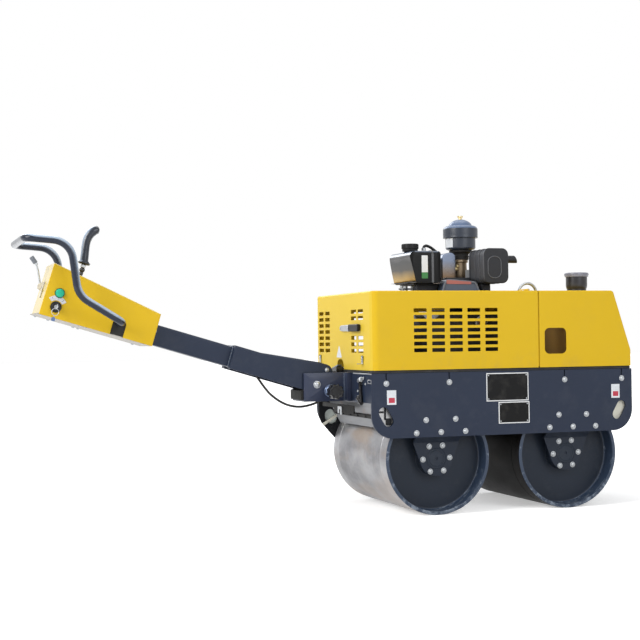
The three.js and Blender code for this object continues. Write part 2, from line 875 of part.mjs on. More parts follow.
// Over-centre latch on the rear wall: a mounting plate and a grip standing off it.
function hoodLatch() {
  const back = hoodRear - seat;
  const y0 = latchY - latchLength / 2;
  const y1 = latchY + latchLength / 2;
  const plateHalf = latchPlateHeight / 2;
  const gripHalf = latchGripHeight / 2;
  const plate = box(back - latchPlateThickness, back, y0, y1, latchZ - plateHalf, latchZ + plateHalf);
  const grip = plateXZ(
    rectangle(back - 2 - latchGripDepth, back - 2, latchZ - gripHalf, latchZ + gripHalf, gripHalf / 3),
    y0,
    y0 + latchLength * 0.56,
  );
  return join(plate, grip);
}
add(machine, "hood_latch", hoodLatch(), blackPaint);

// A butt hinge over the seam: its barrel and the leaf that is screwed to the front cover.
function hoodHinge() {
  const z = hoodTop + seat;
  const y0 = hingeY - hingeLength / 2;
  const barrel = rodY(hingeRadius, y0, y0 + hingeLength, hoodSplit, hingeZ, 12);
  return join(barrel, box(hoodSplit, hoodSplit + hingeLeaf, y0, y0 + hingeLength, z, z + hingeThickness));
}
add(machine, "hood_hinge_left", hoodHinge(), zinc);
add(machine, "hood_hinge_right", mirrorY(hoodHinge()), zinc);

// ---------- water tank, filler neck and lifting eye ----------
const waterTankTop = hoodTop - sheet - waterTankRoom;

function waterTank() {
  const side = outline([
    [waterTankRear, deckTop + seat],
    [hoodFront - waterTankFront, deckTop + seat],
    [hoodFront - waterTankFront, slantBottomZ - 20, 20],
    [slantTopX - 52, waterTankTop, 20],
    [waterTankRear, waterTankTop, 20],
  ]);
  const half = plateInnerY - waterTankSide;
  return plateXZ(side, -half, half);
}
add(machine, "water_tank", waterTank(), finish(0x6b4a1e, 0.6, 0.0));

const neckOuter = neckHoleRadius - neckClearance;
const neckTop = hoodTop + fillerHeight;

function fillerNeck() {
  const base = waterTankTop + seat;
  return alongZ(
    revolve(
      [
        [neckOuter, base],
        [neckOuter, neckTop],
        [neckOuter - neckWall, neckTop],
        [neckOuter - neckWall, base + neckWall],
        [0, base + neckWall],
        [0, base],
      ],
      24,
    ),
  ).translate(neckX, neckY, 0);
}
add(machine, "filler_neck", fillerNeck(), blackPaint);

function fillerCap() {
  const capTop = neckTop + fillerCapHeight;
  return alongZ(
    revolve(
      [
        [0, neckTop + seat],
        [neckOuter + seat, neckTop + seat],
        [neckOuter + seat, neckTop - fillerCapSkirt],
        [fillerCapRadius, neckTop - fillerCapSkirt],
        [fillerCapRadius, capTop - 4],
        [fillerCapRadius - 4, capTop],
        [0, capTop],
      ],
      24,
    ),
  ).translate(neckX, neckY, 0);
}
add(machine, "filler_cap", fillerCap(), blackPaint);

// A ring on a flat post that stands on the deck and comes out through the front cover.
function liftingEye() {
  const ring = new THREE.TorusGeometry(liftRadius, liftWire, 8, 22).rotateX(Math.PI / 2);
  ring.translate(liftX, 0, liftCentreZ);
  const postHalf = liftFootHalf / 2;
  const postTop = liftCentreZ - liftRadius;
  const post = box(liftX - postHalf, liftX + postHalf, -liftWire, liftWire, deckTop + seat, postTop);
  const reach = liftFootHalf;
  const half = liftFootWidth / 2;
  const foot = box(liftX - reach, liftX + reach, -half, half, deckTop + seat, deckTop + liftFootHeight);
  return join(post, foot, ring);
}
add(machine, "lifting_eye", liftingEye(), zinc);

// ---------- engine ----------
// Crankcase on two rails, a finned barrel and the cylinder head, as one casting.
function engineBlock() {
  const rails = [-1, 1].map((side) => {
    const y = engineY + side * (crankcaseHalf - railWidth / 2);
    const [x0, x1] = [engineX - railLength / 2, engineX + railLength / 2];
    return box(x0, x1, y - railWidth / 2, y + railWidth / 2, deckTop + seat, blockBottom + 4);
  });
  const crankcase = plateXZ(
    outline([
      [engineX - crankcaseRear, blockBottom, 24],
      [engineX + crankcaseFront, blockBottom, 24],
      [engineX + crankcaseFront, blockTop - 30, 40],
      [engineX + crankcaseFront - 50, blockTop, 20],
      [engineX - crankcaseRear + 45, blockTop, 20],
      [engineX - crankcaseRear, blockTop - 40, 30],
    ]),
    engineY - crankcaseHalf,
    engineY + crankcaseHalf,
  );
  const barrel = rodZ(barrelRadius, blockTop - 2, headBottom + 2, engineX, engineY, 16);
  const fins = [];
  for (let z = blockTop + 8; z < headBottom - finThickness - 2; z += finPitch)
    fins.push(
      box(engineX - finHalf, engineX + finHalf, engineY - finHalf, engineY + finHalf, z, z + finThickness),
    );
  const head = plateXY(
    rectangle(engineX - headHalfX, engineX + headHalfX, engineY - headHalfY, engineY + headHalfY, 14),
    headBottom,
    headTop,
  );
  return join(crankcase, ...rails, barrel, ...fins, head);
}
add(machine, "engine_block", engineBlock(), castAluminium);

// Rocker cover: a pressed cap with rounded edges on the rear half of the head.
function rockerCover() {
  const base = headTop + seat;
  const rear = engineX - headHalfX + 2;
  return plateXZ(
    outline([
      [rear, base],
      [rear + rockerLength, base],
      [rear + rockerLength, headTop + rockerHeight, 20],
      [rear, headTop + rockerHeight - 14, 26],
    ]),
    engineY + rockerNear,
    engineY + rockerFar,
  );
}
add(machine, "rocker_cover", rockerCover(), castAluminium);

// Sheet shroud that leads the fan's air over the barrel: a curved cowl, open below and at the head.
function fanShroud() {
  const y1 = engineY - headHalfY - seat;
  const y0 = y1 - shroudDepth;
  const bottom = headBottom - shroudDrop;
  const top = headTop + shroudRise;
  const profile = (inset) => [
    [engineX - shroudRear + inset, bottom - inset],
    [engineX + shroudFront - inset, bottom - inset],
    [engineX + shroudFront - 36 - inset, top - 10 - inset, 16],
    [engineX - shroudRear + 30 + inset, top - inset, 24],
  ];
  const skin = plateXZ(outline(profile(0)), y0, y1);
  const hollow = plateXZ(outline(profile(sheet)), y0 + sheet, y1 + 1);
  return cut(skin, hollow);
}
add(machine, "fan_shroud", fanShroud(), frameBlue);

// Round flywheel and recoil housing at the rear of the crankcase.
function flywheelCover() {
  const face = engineX - crankcaseRear - seat;
  return alongX(
    revolve(
      [
        [0, face],
        [flywheelRadius, face],
        [flywheelRadius, face - flywheelRim],
        [flywheelRadius - 22, face - flywheelDepth],
        [0, face - flywheelDepth],
      ],
      26,
    ),
  ).translate(0, engineY, blockBottom + flywheelRise);
}
add(machine, "flywheel_cover", flywheelCover(), blackPaint);

// Fuel tank: rounded box with a rear face that slopes in towards the bottom.
function fuelTank() {
  const side = outline([
    [tankRear + tankSlope, tankBottom, 14],
    [tankFront, tankBottom, 14],
    [tankFront, tankTop, tankCorner],
    [tankRear, tankTop, tankCorner],
  ]);
  const plan = plateXY(
    rectangle(tankRear, tankFront, tankNear, tankFar, tankCorner),
    tankBottom - 1,
    tankTop + 1,
  );
  const body = common(plateXZ(side, tankNear, tankFar), plan);
  const neck = rodZ(fuelNeckRadius, tankTop - 4, tankTop + fuelNeckHeight, tankCapX, tankCapY, 20);
  return join(body, neck);
}
add(machine, "fuel_tank", fuelTank(), blackPaint);

function fuelCap() {
  const base = tankTop + fuelNeckHeight + seat;
  const grip = revolve(
    [
      [0, 0],
      [fuelCapRadius - 2, 0],
      [fuelCapRadius, 4],
      [fuelCapRadius, fuelCapHeight - 5],
      [fuelCapRadius - 4, fuelCapHeight],
      [0, fuelCapHeight],
    ],
    20,
  );
  return alongZ(grip).translate(tankCapX, tankCapY, base);
}
add(machine, "fuel_cap", fuelCap(), blackPaint);

// Two folded straps carry the tank from the head of the engine block.
function tankBracket() {
  const under = tankBottom - seat;
  const inner = engineX - headHalfX - seat;
  const near = engineY - headHalfY + 14;
  return join(
    box(tankRear + 40, inner - 6, near, tankFar - 30, under - 5, under),
    box(inner - 6, inner, near + 16, tankFar - 30, headBottom + 4, under),
  );
}
add(machine, "tank_bracket", tankBracket(), blackPaint);

// Air cleaner: a turned bowl with a wider cap and a shallow dome, on a rubber neck.
function airCleanerBowl() {
  return alongZ(
    revolve(
      [
        [0, neckBottom + seat],
        [neckRadius - 4, neckBottom + seat],
        [neckRadius, bowlBottom - 13],
        [bowlRadius - 18, bowlBottom - 2],
        [bowlRadius - 3, bowlBottom],
        [bowlRadius, bowlBottom + 5],
        [bowlRadius, capBottom + capLap],
        [0, capBottom + capLap],
      ],
      26,
    ),
  ).translate(cleanerX, cleanerY, 0);
}
add(machine, "air_cleaner_bowl", airCleanerBowl(), frameBlue);

function airCleanerCap() {
  const inside = capBottom + capLap + seat;
  const capRadius = bowlRadius + capOverhang;
  const shoulder = capBottom + capShoulder;
  const top = shoulder + domeHeight;
  return alongZ(
    revolve(
      [
        [0, inside],
        [bowlRadius + seat, inside],
        [bowlRadius + seat, capBottom],
        [capRadius, capBottom],
        [capRadius - 1, shoulder - 12],
        [capRadius - 12, shoulder],
        [capRadius - 26, shoulder + 3],
        [34, top - 7],
        [16, top],
        [5, top],
        [5, top + studHeight],
        [0, top + studHeight],
      ],
      26,
    ),
  ).translate(cleanerX, cleanerY, 0);
}
add(machine, "air_cleaner_cap", airCleanerCap(), frameBlue);

// Cast intake pipe on the head, widening to the air cleaner's neck.
function intakePipe() {
  const profile = [
    [0, headTop + seat],
    [30, headTop + seat],
    [30, headTop + 8],
    [20, headTop + 16],
    [22, headTop + 40],
    [32, neckBottom - 30],
    [32, neckBottom],
    [0, neckBottom],
  ];
  return alongZ(revolve(profile, 20)).translate(intakeX, cleanerY, 0);
}
add(machine, "intake_pipe", intakePipe(), castAluminium);

// Exhaust silencer: a pressed shell with a raised oval on its near end, ribs round it and a stub outlet.
function muffler() {
  const x0 = mufflerRear;
  const x1 = x0 + mufflerLength;
  const z0 = headTop + mufflerRise;
  const z1 = z0 + mufflerHeight;
  const y1 = mufflerNear + mufflerDepth;
  const corner = mufflerCorner;
  const shell = plateXZ(rectangle(x0, x1, z0, z1, corner), mufflerNear, y1);
  const rib = (y) => plateXZ(rectangle(x0 - 4, x1 + 4, z0 - 2, z1 + 4, corner + 3), y, y + 7);
  const ribs = Array.from({ length: mufflerRibs }, (_, i) => rib(mufflerNear + 8 + i * ribPitch));
  const oval = plateXZ(rectangle(x0 + 32, x1 - 26, z0 + 26, z1 - 26, 26), mufflerNear - 3, mufflerNear + 1);
  const outlet = rodX(15, x1 - 2, x1 + outletLength, mufflerNear + mufflerDepth / 2, z0 + outletRise, 20);
  const feed = box(x0 + 30, x0 + 52, y1 - 2, y1 + 24, headTop + seat, z0 + 44);
  return join(shell, ...ribs, oval, outlet, feed);
}
add(machine, "muffler", muffler(), blackPaint);

// ---------- clevis and its fittings ----------
const clevisRear = pivotX - clevisTail;
const clevisFlangeX = chassisRear - clevisFlange;

// Two ears on a base flange, joined below the arm by a narrow cross strip.
function clevis() {
  const outerY = clevisInner + clevisPlate;
  const ear = rectangle(clevisRear, clevisFlangeX + 2, clevisBottom, clevisTop);
  const ears = [-1, 1].map((side) =>
    plateXZ(ear, Math.min(side * clevisInner, side * outerY), Math.max(side * clevisInner, side * outerY)),
  );
  const flangeHalf = outerY + clevisFlangeLap;
  const flange = box(clevisFlangeX, chassisRear - seat, -flangeHalf, flangeHalf, clevisBottom, clevisTop);
  const stripFront = clevisRear + clevisStrip;
  const strip = box(clevisRear, stripFront, -outerY + 1, outerY - 1, clevisBottom, clevisBottom + 6);
  const bore = rodY(pinRadius + seat, -outerY - 1, outerY + 1, pivotX, pivotZ, 20);
  return cut(join(flange, ...ears, strip), bore);
}
add(machine, "clevis", clevis(), frameBlue);

// The rubber block on the cross strip, on which the lowered arm rests.
const slope = handleSlope * deg;
function armUndersideZ(x) {
  const along = (x - pivotX - armBottom * Math.sin(slope)) / Math.cos(slope);
  return pivotZ - along * Math.sin(slope) + armBottom * Math.cos(slope);
}
function stopBlock() {
  const x0 = clevisRear - 11;
  const x1 = clevisRear + clevisStrip;
  const base = clevisBottom + 6 + seat;
  const width = clevisInner - seat;
  const side = outline([
    [x0, base],
    [x1, base],
    [x1, armUndersideZ(x1) - seat],
    [x0, armUndersideZ(x0) - seat],
  ]);
  return plateXZ(side, -width, width);
}
add(machine, "handle_stop", stopBlock(), blackRubber);

function pivotBolt() {
  const end = clevisInner + clevisPlate + seat;
  return join(
    rodY(pinRadius, -end - 8, end + 8, pivotX, pivotZ, 20),
    rodY(15, -end - 3, -end, pivotX, pivotZ, 20),
    rodY(15, end, end + 3, pivotX, pivotZ, 20),
  );
}
add(machine, "pivot_bolt", pivotBolt(), zinc);

// Spring plunger that locks the arm: a collar on the right ear with a gripped black cap.
function lockKnob() {
  const y = -(clevisInner + clevisPlate + seat);
  const profile = [
    [0, 0],
    [knobCollarRadius, 0],
    [knobCollarRadius, knobCollar],
    [knobRadius, knobCollar + 2],
    [knobRadius, knobLength - 4],
    [knobRadius - 3, knobLength],
    [0, knobLength],
  ];
  return revolve(profile, 22).rotateX(Math.PI).translate(knobX, y, knobZ);
}
add(machine, "lock_knob", lockKnob(), blackPaint);

// ---------- handle ----------
// Its own frame: origin on the pivot, X along the beam towards the roller, Z square to it.
const handle = new THREE.Group();
handle.position.set(pivotX, 0, pivotZ);
handle.rotation.y = slope;
machine.add(handle);

// The arm is a folded channel, open below and at the nose, that clasps the beam at its rear end.
function arm() {
  const humpFront = -10;
  const humpRear = armRear + 105;
  const skin = plateXZ(
    outline([
      [armRear, armBottom],
      [armNose, armBottom, 24],
      [armNose, armShoulder, 30],
      [humpFront, armShoulder, 60],
      [humpRear, armTop, 60],
      [armRear, armTop],
    ]),
    -armHalfWidth,
    armHalfWidth,
  );
  const topFront = armNose - armTopSetback;
  const width = armHalfWidth - armWall;
  const hollow = plateXZ(
    outline([
      [armRear + armWall, armBottom - 1],
      [armNose + 1, armBottom - 1],
      [armNose + 1, armShoulder + 1],
      [topFront, armShoulder + 1],
      [topFront, armShoulder - armWall],
      [humpFront, armShoulder - armWall, 60],
      [humpRear, armTop - armWall, 60],
      [armRear + armWall, armTop - armWall],
    ]),
    -width,
    width,
  );
  const beamHole = box(
    armRear - 1,
    armRear + armWall + 1,
    -beamHalfWidth - seat,
    beamHalfWidth + seat,
    armBottom - 1,
    beamTop + seat,
  );
  const bore = rodY(pinRadius + pinClearance, -armHalfWidth - 1, armHalfWidth + 1, 0, 0, 20);
  return cut(skin, hollow, beamHole, bore);
}
add(handle, "handle_arm", arm(), frameBlue);

function handleBeam() {
  const front = armRear + beamInArm;
  const outer = box(beamRear, front, -beamHalfWidth, beamHalfWidth, beamBottom, beamTop);
  const inner = box(
    beamRear - 1,
    front + 1,
    -beamHalfWidth + tubeWall,
    beamHalfWidth - tubeWall,
    beamBottom + tubeWall,
    beamTop - tubeWall,
  );
  return cut(outer, inner);
}
add(handle, "handle_beam", handleBeam(), frameBlue);

// ---------- console ----------
const consoleSlotX = loopFootX + 3;

// The side view of the console box, drawn `inset` inside the outer sheet.
function consoleSide(inset, bottom) {
  return outline([
    [consoleFront - inset, bottom],
    [consoleFront - inset, consoleFrontTop - inset],
    [consoleRear + inset + 4, consoleRearTop - inset],
    [consoleRear + inset, bottom],
  ]);
}

function consoleShell() {
  const outer = plateXZ(consoleSide(0, consoleBottom), -consoleHalfWidth, consoleHalfWidth);
  const width = consoleHalfWidth - consoleSheet;
  const inner = plateXZ(consoleSide(consoleSheet, consoleBottom - 1), -width, width);
  const beamHole = box(
    consoleFront - consoleSheet - 1,
    consoleFront + 1,
    -beamHalfWidth - seat,
    beamHalfWidth + seat,
    consoleBottom - 1,
    beamTop + seat,
  );
  const half = footSlotHalf;
  const footSlot = plateXZ(
    outline([
      [consoleSlotX - half, consoleBottom - 1],
      [consoleSlotX + half, consoleBottom - 1],
      [consoleSlotX + half, loopFootZ + loopRadius + 4, half - 1],
      [consoleSlotX - half, loopFootZ + loopRadius + 4, half - 1],
    ]),
    -consoleHalfWidth - 1,
    consoleHalfWidth + 1,
  );
  const leverSlot = plateXY(rectangle(leverX - 35, leverX + 35, -11, 11, 9), consoleFrontTop, consoleRearTop);
  return cut(outer, inner, beamHole, footSlot, leverSlot);
}
add(handle, "console", consoleShell(), hoodYellow);

add(
  handle,
  "console_base",
  box(
    consoleRear - 6,
    consoleFront,
    -consoleHalfWidth,
    consoleHalfWidth,
    consoleBottom - seat - basePlateThickness,
    consoleBottom - seat,
  ),
  zinc,
);

// ---------- loop handlebar ----------
// Straight runs joined by arcs through the listed corners, each with its bend radius.
function bentPath(corners) {
  const points = corners.map(([x, y, z]) => new THREE.Vector3(x, y, z));
  const path = new THREE.CurvePath();
  let start = points[0];
  for (let i = 1; i < points.length - 1; i++) {
    const before = points[i - 1].clone().sub(points[i]).normalize();
    const after = points[i + 1].clone().sub(points[i]).normalize();
    const reach = corners[i][3] / Math.tan(before.angleTo(after) / 2);
    const entry = points[i].clone().addScaledVector(before, reach);
    const exit = points[i].clone().addScaledVector(after, reach);
    path.add(new THREE.LineCurve3(start, entry));
    path.add(new THREE.QuadraticBezierCurve3(entry, points[i], exit));
    start = exit;
  }
  path.add(new THREE.LineCurve3(start, points.at(-1)));
  return path;
}

function loopHandlebar() {
  const inner = beamHalfWidth + seat;
  const half = [
    [loopFootX, inner, loopFootZ],
    [loopFootX, loopHalfWidth, loopFootZ, loopCorner],
    [loopKneeX, loopHalfWidth, loopKneeZ, loopKneeBend],
    [loopShoulderX, loopHalfWidth, loopShoulderZ, loopShoulderBend],
    [loopGripX, loopHalfWidth, loopGripZ, loopCorner],
  ];
  const mirrored = half.map(([x, y, z, bend]) => [x, -y, z, bend]).reverse();
  return sweep(bentPath([...half, ...mirrored]), loopRadius, 84, 8);
}
add(handle, "handle_loop", loopHandlebar(), tubeBlue);

// ---------- controls ----------
// Travel lever: a pivot boss on the beam, a thin rod, a guard disc and a curved grip.
function travelLever() {
  const base = beamTop + seat;
  const boss = join(
    rodZ(14, base, base + 8, leverX, 0, 20),
    rodY(9, -12, 12, leverX, base + 14, 20),
  );
  const discZ = base + leverRodHeight;
  const gripTop = discZ + leverGripHeight;
  const rodPath = new THREE.LineCurve3(
    new THREE.Vector3(leverX, 0, base + 14),
    new THREE.Vector3(leverX, 0, discZ + 8),
  );
  const gripPath = new THREE.CatmullRomCurve3([
    new THREE.Vector3(leverX, 0, discZ),
    new THREE.Vector3(leverX - 5, 0, gripTop - 96),
    new THREE.Vector3(leverX - 11, 0, gripTop - 66),
    new THREE.Vector3(leverX - 8, 0, gripTop - 38),
    new THREE.Vector3(leverX + 10, 0, gripTop),
  ]);
  const disc = rodZ(leverDiscRadius, discZ, discZ + 5, leverX, 0, 20);
  return join(boss, sweep(rodPath, 6, 1, 8), disc, sweep(gripPath, leverGripRadius, 8, 12));
}
add(handle, "travel_lever", travelLever(), blackRubber);

// Throttle lever: a bent rod from a small plate on the console's rear wall, with a knob.
function throttleLever() {
  const wall = consoleRear - seat;
  const z0 = consoleBottom + 80;
  const tipX = wall - throttleReach;
  const tipZ = z0 + throttleRise;
  const plate = box(wall - 3, wall, throttleY - 12, throttleY + 12, z0 - 25, z0 + 20);
  const path = new THREE.CatmullRomCurve3([
    new THREE.Vector3(wall - 2, throttleY, z0),
    new THREE.Vector3(wall - 14, throttleY, z0 + 20),
    new THREE.Vector3((wall + tipX) / 2 + 4, throttleY, tipZ - 43),
    new THREE.Vector3(tipX + 18, throttleY, tipZ - 14),
  ]);
  const knobPath = new THREE.LineCurve3(
    new THREE.Vector3(tipX + 22, throttleY, tipZ - 17),
    new THREE.Vector3(tipX, throttleY, tipZ),
  );
  return join(plate, sweep(path, 4, 6, 8), sweep(knobPath, 9, 1, 12));
}
add(handle, "throttle_lever", throttleLever(), zinc);

const panelY = -(consoleHalfWidth + seat);
function startButton() {
  const cap = switchRadius - 4;
  const rim = switchRadius;
  return revolve([[0, 0], [rim, 0], [rim, 3], [cap, 4], [cap, 9], [cap - 2, 10], [0, 10]], 20)
    .rotateX(Math.PI)
    .translate(consoleRear + buttonInset, panelY, consoleBottom + buttonRise);
}
add(handle, "start_button", startButton(), finish(0x12b896, 0.4, 0.0));

// Key switch: a round bezel with the key's flat bow standing in it.
function keySwitch() {
  const x = consoleRear + buttonInset;
  const z = consoleBottom + keyRise;
  const bezel = revolve([[0, 0], [switchRadius, 0], [switchRadius, 8], [switchRadius - 4, 13], [0, 13]], 20)
    .rotateX(Math.PI)
    .translate(x, panelY, z);
  const key = box(x - 1.5, x + 1.5, panelY - 32, panelY - 12, z - 9, z + 9);
  return join(bezel, key);
}
add(handle, "key_switch", keySwitch(), blackPaint);

// ---------- control cable ----------
// A rubber plug in the beam's lower end and a gland on the clevis flange hold the cable.
const beamFront = armRear + beamInArm;
function beamPlug() {
  const half = beamHalfWidth - tubeWall - seat;
  const z0 = beamBottom + tubeWall + seat;
  const z1 = beamTop - tubeWall - seat;
  return box(beamFront - 14, beamFront, -half, half, z0, z1);
}
add(handle, "beam_plug", beamPlug(), blackRubber);

const glandRear = clevisFlangeX - seat - glandLength;
function cableGland() {
  return rodX(glandRadius, glandRear, clevisFlangeX - seat, 0, glandZ, 20);
}
add(machine, "cable_gland", cableGland(), blackRubber);

// The cable comes straight out of the plug, sags under the arm and turns up into the gland.
// [x, z] from the plug's mouth for the upper run and from the gland's mouth for the lower one.
const upperRun = [
  [0, 0],
  [19.8, -8.1],
  [34.5, -24.0],
  [45.7, -42.6],
  [57.8, -60.6],
  [70.3, -78.3],
  [83.5, -95.5],
  [97.9, -111.8],
];
const lowerRun = [
  [-242.6, -0.9],
  [-225.0, -13.7],
  [-206.2, -24.5],
  [-186.2, -32.8],
  [-165.2, -38.3],
  [-143.7, -40.8],
  [-122.0, -40.0],
  [-100.6, -36.3],
  [-79.7, -30.5],
  [-59.7, -22.1],
  [-41.1, -10.9],
  [-21.6, -1.5],
  [0, 0],
];

function controlCable() {
  const along = beamFront + 2 * seat;
  const plugX = pivotX + along * Math.cos(slope);
  const plugZ = pivotZ - along * Math.sin(slope);
  const route = [
    ...upperRun.map(([x, z]) => new THREE.Vector3(plugX + x, 0, plugZ + z)),
    ...lowerRun.map(([x, z]) => new THREE.Vector3(glandRear - seat + x, 0, glandZ + z)),
  ];
  return sweep(new THREE.CatmullRomCurve3(route), cableRadius, 26, 8);
}
add(machine, "control_cable", controlCable(), blackRubber);

// ---------- the part's own frame ----------
// The origin is under the middle of the whole machine.
machine.updateMatrixWorld(true);
const extent = new THREE.Box3().setFromObject(machine, true);
machine.position.x = -(extent.min.x + extent.max.x) / 2;

export default machine;
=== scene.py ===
"""A walk-behind double drum roller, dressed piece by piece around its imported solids.

Metres, +X forward, +Y to the machine's left, +Z up, the ground at Z = 0.
"""
import math

import bmesh
import bpy
from mathutils import Matrix, Vector


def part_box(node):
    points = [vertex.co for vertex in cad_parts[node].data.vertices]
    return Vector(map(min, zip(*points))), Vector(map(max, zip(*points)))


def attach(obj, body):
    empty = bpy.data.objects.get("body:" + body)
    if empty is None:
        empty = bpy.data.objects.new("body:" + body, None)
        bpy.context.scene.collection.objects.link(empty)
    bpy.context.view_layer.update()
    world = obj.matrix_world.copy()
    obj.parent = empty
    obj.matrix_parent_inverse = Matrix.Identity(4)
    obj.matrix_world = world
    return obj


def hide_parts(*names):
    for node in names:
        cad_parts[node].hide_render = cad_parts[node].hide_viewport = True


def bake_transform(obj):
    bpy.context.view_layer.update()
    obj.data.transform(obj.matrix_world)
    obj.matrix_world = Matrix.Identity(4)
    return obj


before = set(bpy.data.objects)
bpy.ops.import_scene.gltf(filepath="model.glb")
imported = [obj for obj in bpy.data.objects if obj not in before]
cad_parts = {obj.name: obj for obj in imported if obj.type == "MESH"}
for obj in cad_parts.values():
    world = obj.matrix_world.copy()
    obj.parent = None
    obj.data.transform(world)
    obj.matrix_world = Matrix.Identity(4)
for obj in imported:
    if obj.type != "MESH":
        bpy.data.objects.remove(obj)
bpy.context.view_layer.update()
scene = bpy.context.scene

# ---------- Studio ----------
# The camera stands low behind the machine's right-hand side with a long lens. The floor and the
# world are white to the eye and in reflections. A soft key, a fill and a top light do the rest, and
# a cooler one from behind edges the tubes and the tops.
# "middle" is the X between the two drums, which the pieces along the machine are placed from.
middle = (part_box("drum_rear")[0][0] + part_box("drum_front")[1][0]) / 2
eye = Vector((middle - 2.3061, -5.0100, 0.6706))
yaw, pitch, roll = 0.3212, 0.0142, -0.0128
turn = Matrix.Rotation(-yaw, 3, "Z") @ Matrix.Rotation(math.pi / 2 + pitch, 3, "X") @ Matrix.Rotation(roll, 3, "Z")
bpy.ops.object.camera_add(location=eye, rotation=turn.to_euler())
camera = bpy.context.object
camera.name = "camera"
camera.data.lens = 75.94
camera.data.sensor_width = 36.0
camera.data.clip_end = 60.0
scene.camera = camera
scene.view_settings.view_transform = "Standard"


class Wire:
    """A shader socket. Python's operators on it add Math nodes, and node() adds any other kind."""

    def __init__(self, socket):
        self.socket = socket

    def node(self, kind, settings=None, inputs=None, output=0):
        tree = self.socket.id_data
        made = tree.nodes.new(kind)
        for name, value in (settings or {}).items():
            if name == "stops":
                set_stops(made.color_ramp, value)
            else:
                setattr(made, name, value)
        for name, value in (inputs or {}).items():
            if isinstance(value, Wire):
                tree.links.new(value.socket, made.inputs[name])
            else:
                made.inputs[name].default_value = value
        return Wire(made.outputs[output])

    def math(self, operation, *others):
        values = dict(enumerate((self, *others)))
        return self.node("ShaderNodeMath", {"operation": operation}, values)

    def __add__(self, other):
        return self.math("ADD", other)

    def __mul__(self, other):
        return self.math("MULTIPLY", other)

    def __sub__(self, other):
        return self.math("SUBTRACT", other)

    def __rsub__(self, other):
        return self.node("ShaderNodeMath", {"operation": "SUBTRACT"}, {0: other, 1: self})

    def __pow__(self, other):
        return self.math("POWER", other)

    __radd__ = __add__


def set_stops(ramp, stops):
    """Colour ramp stops as a list of (position, grey value or colour)."""
    while len(ramp.elements) < len(stops):
        ramp.elements.new(1.0)
    for element, (position, value) in zip(ramp.elements, stops):
        element.position = position
        element.color = (*value, 1.0) if isinstance(value, tuple) else (value, value, value, 1.0)


def new_tree(holder):
    """Clears a material's or the world's nodes and gives its output node."""
    holder.use_nodes = True
    nodes = holder.node_tree.nodes
    nodes.clear()
    kind = "ShaderNodeOutputWorld" if isinstance(holder, bpy.types.World) else "ShaderNodeOutputMaterial"
    return nodes.new(kind)


def seen_directly(start):
    """1 for rays that the eye, a reflection or glass sends out, and 0 for those that carry light."""
    kinds = ("Camera", "Glossy", "Transmission")
    eye_ray, *others = (start.node("ShaderNodeLightPath", output=f"Is {kind} Ray") for kind in kinds)
    return eye_ray.math("MAXIMUM", others[0]).math("MAXIMUM", others[1])


world_light = 0.46
world = bpy.data.worlds.new("studio_world")
scene.world = world
world_output = new_tree(world)
start = Wire(world_output.inputs["Surface"])
shown = seen_directly(start)
strength = shown * (1.0 - world_light) + world_light
sky = start.node("ShaderNodeBackground", inputs={"Color": (1.0, 1.0, 1.0, 1.0), "Strength": strength})
world.node_tree.links.new(sky.socket, world_output.inputs["Surface"])

# (name, where, size, watts, colour)
softboxes = [
    ("key_light", (-5.2, -1.9, 3.4), 3.2, 232.0, (1.0, 0.985, 0.96)),
    ("fill_light", (1.6, -5.4, 2.8), 3.0, 90.0, (0.95, 0.975, 1.0)),
    ("top_light", (0.6, 0.8, 4.6), 3.4, 70.0, (1.0, 1.0, 1.0)),
    ("rim_light", (-1.2, 5.2, 4.0), 3.2, 170.0, (0.93, 0.965, 1.0)),
]
aim = Vector((0.0, 0.0, 0.45))
for name, where, size, watts, colour in softboxes:
    facing = (aim - Vector(where)).to_track_quat("-Z", "Y").to_euler()
    bpy.ops.object.light_add(type="AREA", location=where, rotation=facing)
    lamp = bpy.context.object
    lamp.name = name
    lamp.data.size = size
    lamp.data.energy = watts
    lamp.data.color = colour

bpy.ops.mesh.primitive_plane_add(size=60.0, location=(0.0, 8.0, 0.0))
floor = bpy.context.object
floor.name = "floor"
bpy.ops.object.transform_apply()
floor_look = bpy.data.materials.new("pale_floor")
floor_output = new_tree(floor_look)
start = Wire(floor_output.inputs["Surface"])
floor_grain = start.node("ShaderNodeTexNoise", inputs={"Scale": 40.0, "Detail": 4.0})
floor_colour = start.node(
    "ShaderNodeValToRGB", {"stops": [(0.3, (0.80, 0.80, 0.80)), (0.7, (0.83, 0.83, 0.83))]}, {"Fac": floor_grain}
)
matt = start.node("ShaderNodeBsdfDiffuse", inputs={"Color": floor_colour, "Roughness": 1.0})
place = start.node("ShaderNodeTexCoord", output="Object")
away = start.node("ShaderNodeVectorMath", {"operation": "DISTANCE"}, {0: place, 1: (middle, 0.0, 0.0)}, output="Value")
fade = start.node(
    "ShaderNodeMapRange", {"interpolation_type": "SMOOTHSTEP"}, {"Value": away, "From Min": 1.2, "From Max": 5.0}
)
lift = start.node("ShaderNodeEmission", inputs={"Strength": seen_directly(start) * (fade * 0.5 + 0.42)})
both = start.node("ShaderNodeAddShader", inputs={0: matt, 1: lift})
floor_look.node_tree.links.new(both.socket, floor_output.inputs["Surface"])
floor.data.materials.append(floor_look)

# ---------- Control cable ----------
# One black sheathed cable from the rubber plug in the handle beam's lower end to the gland on the
# clevis. Both ends are held, so it sags between them, with slack for the handle's lift.
cable_diameter = 0.009
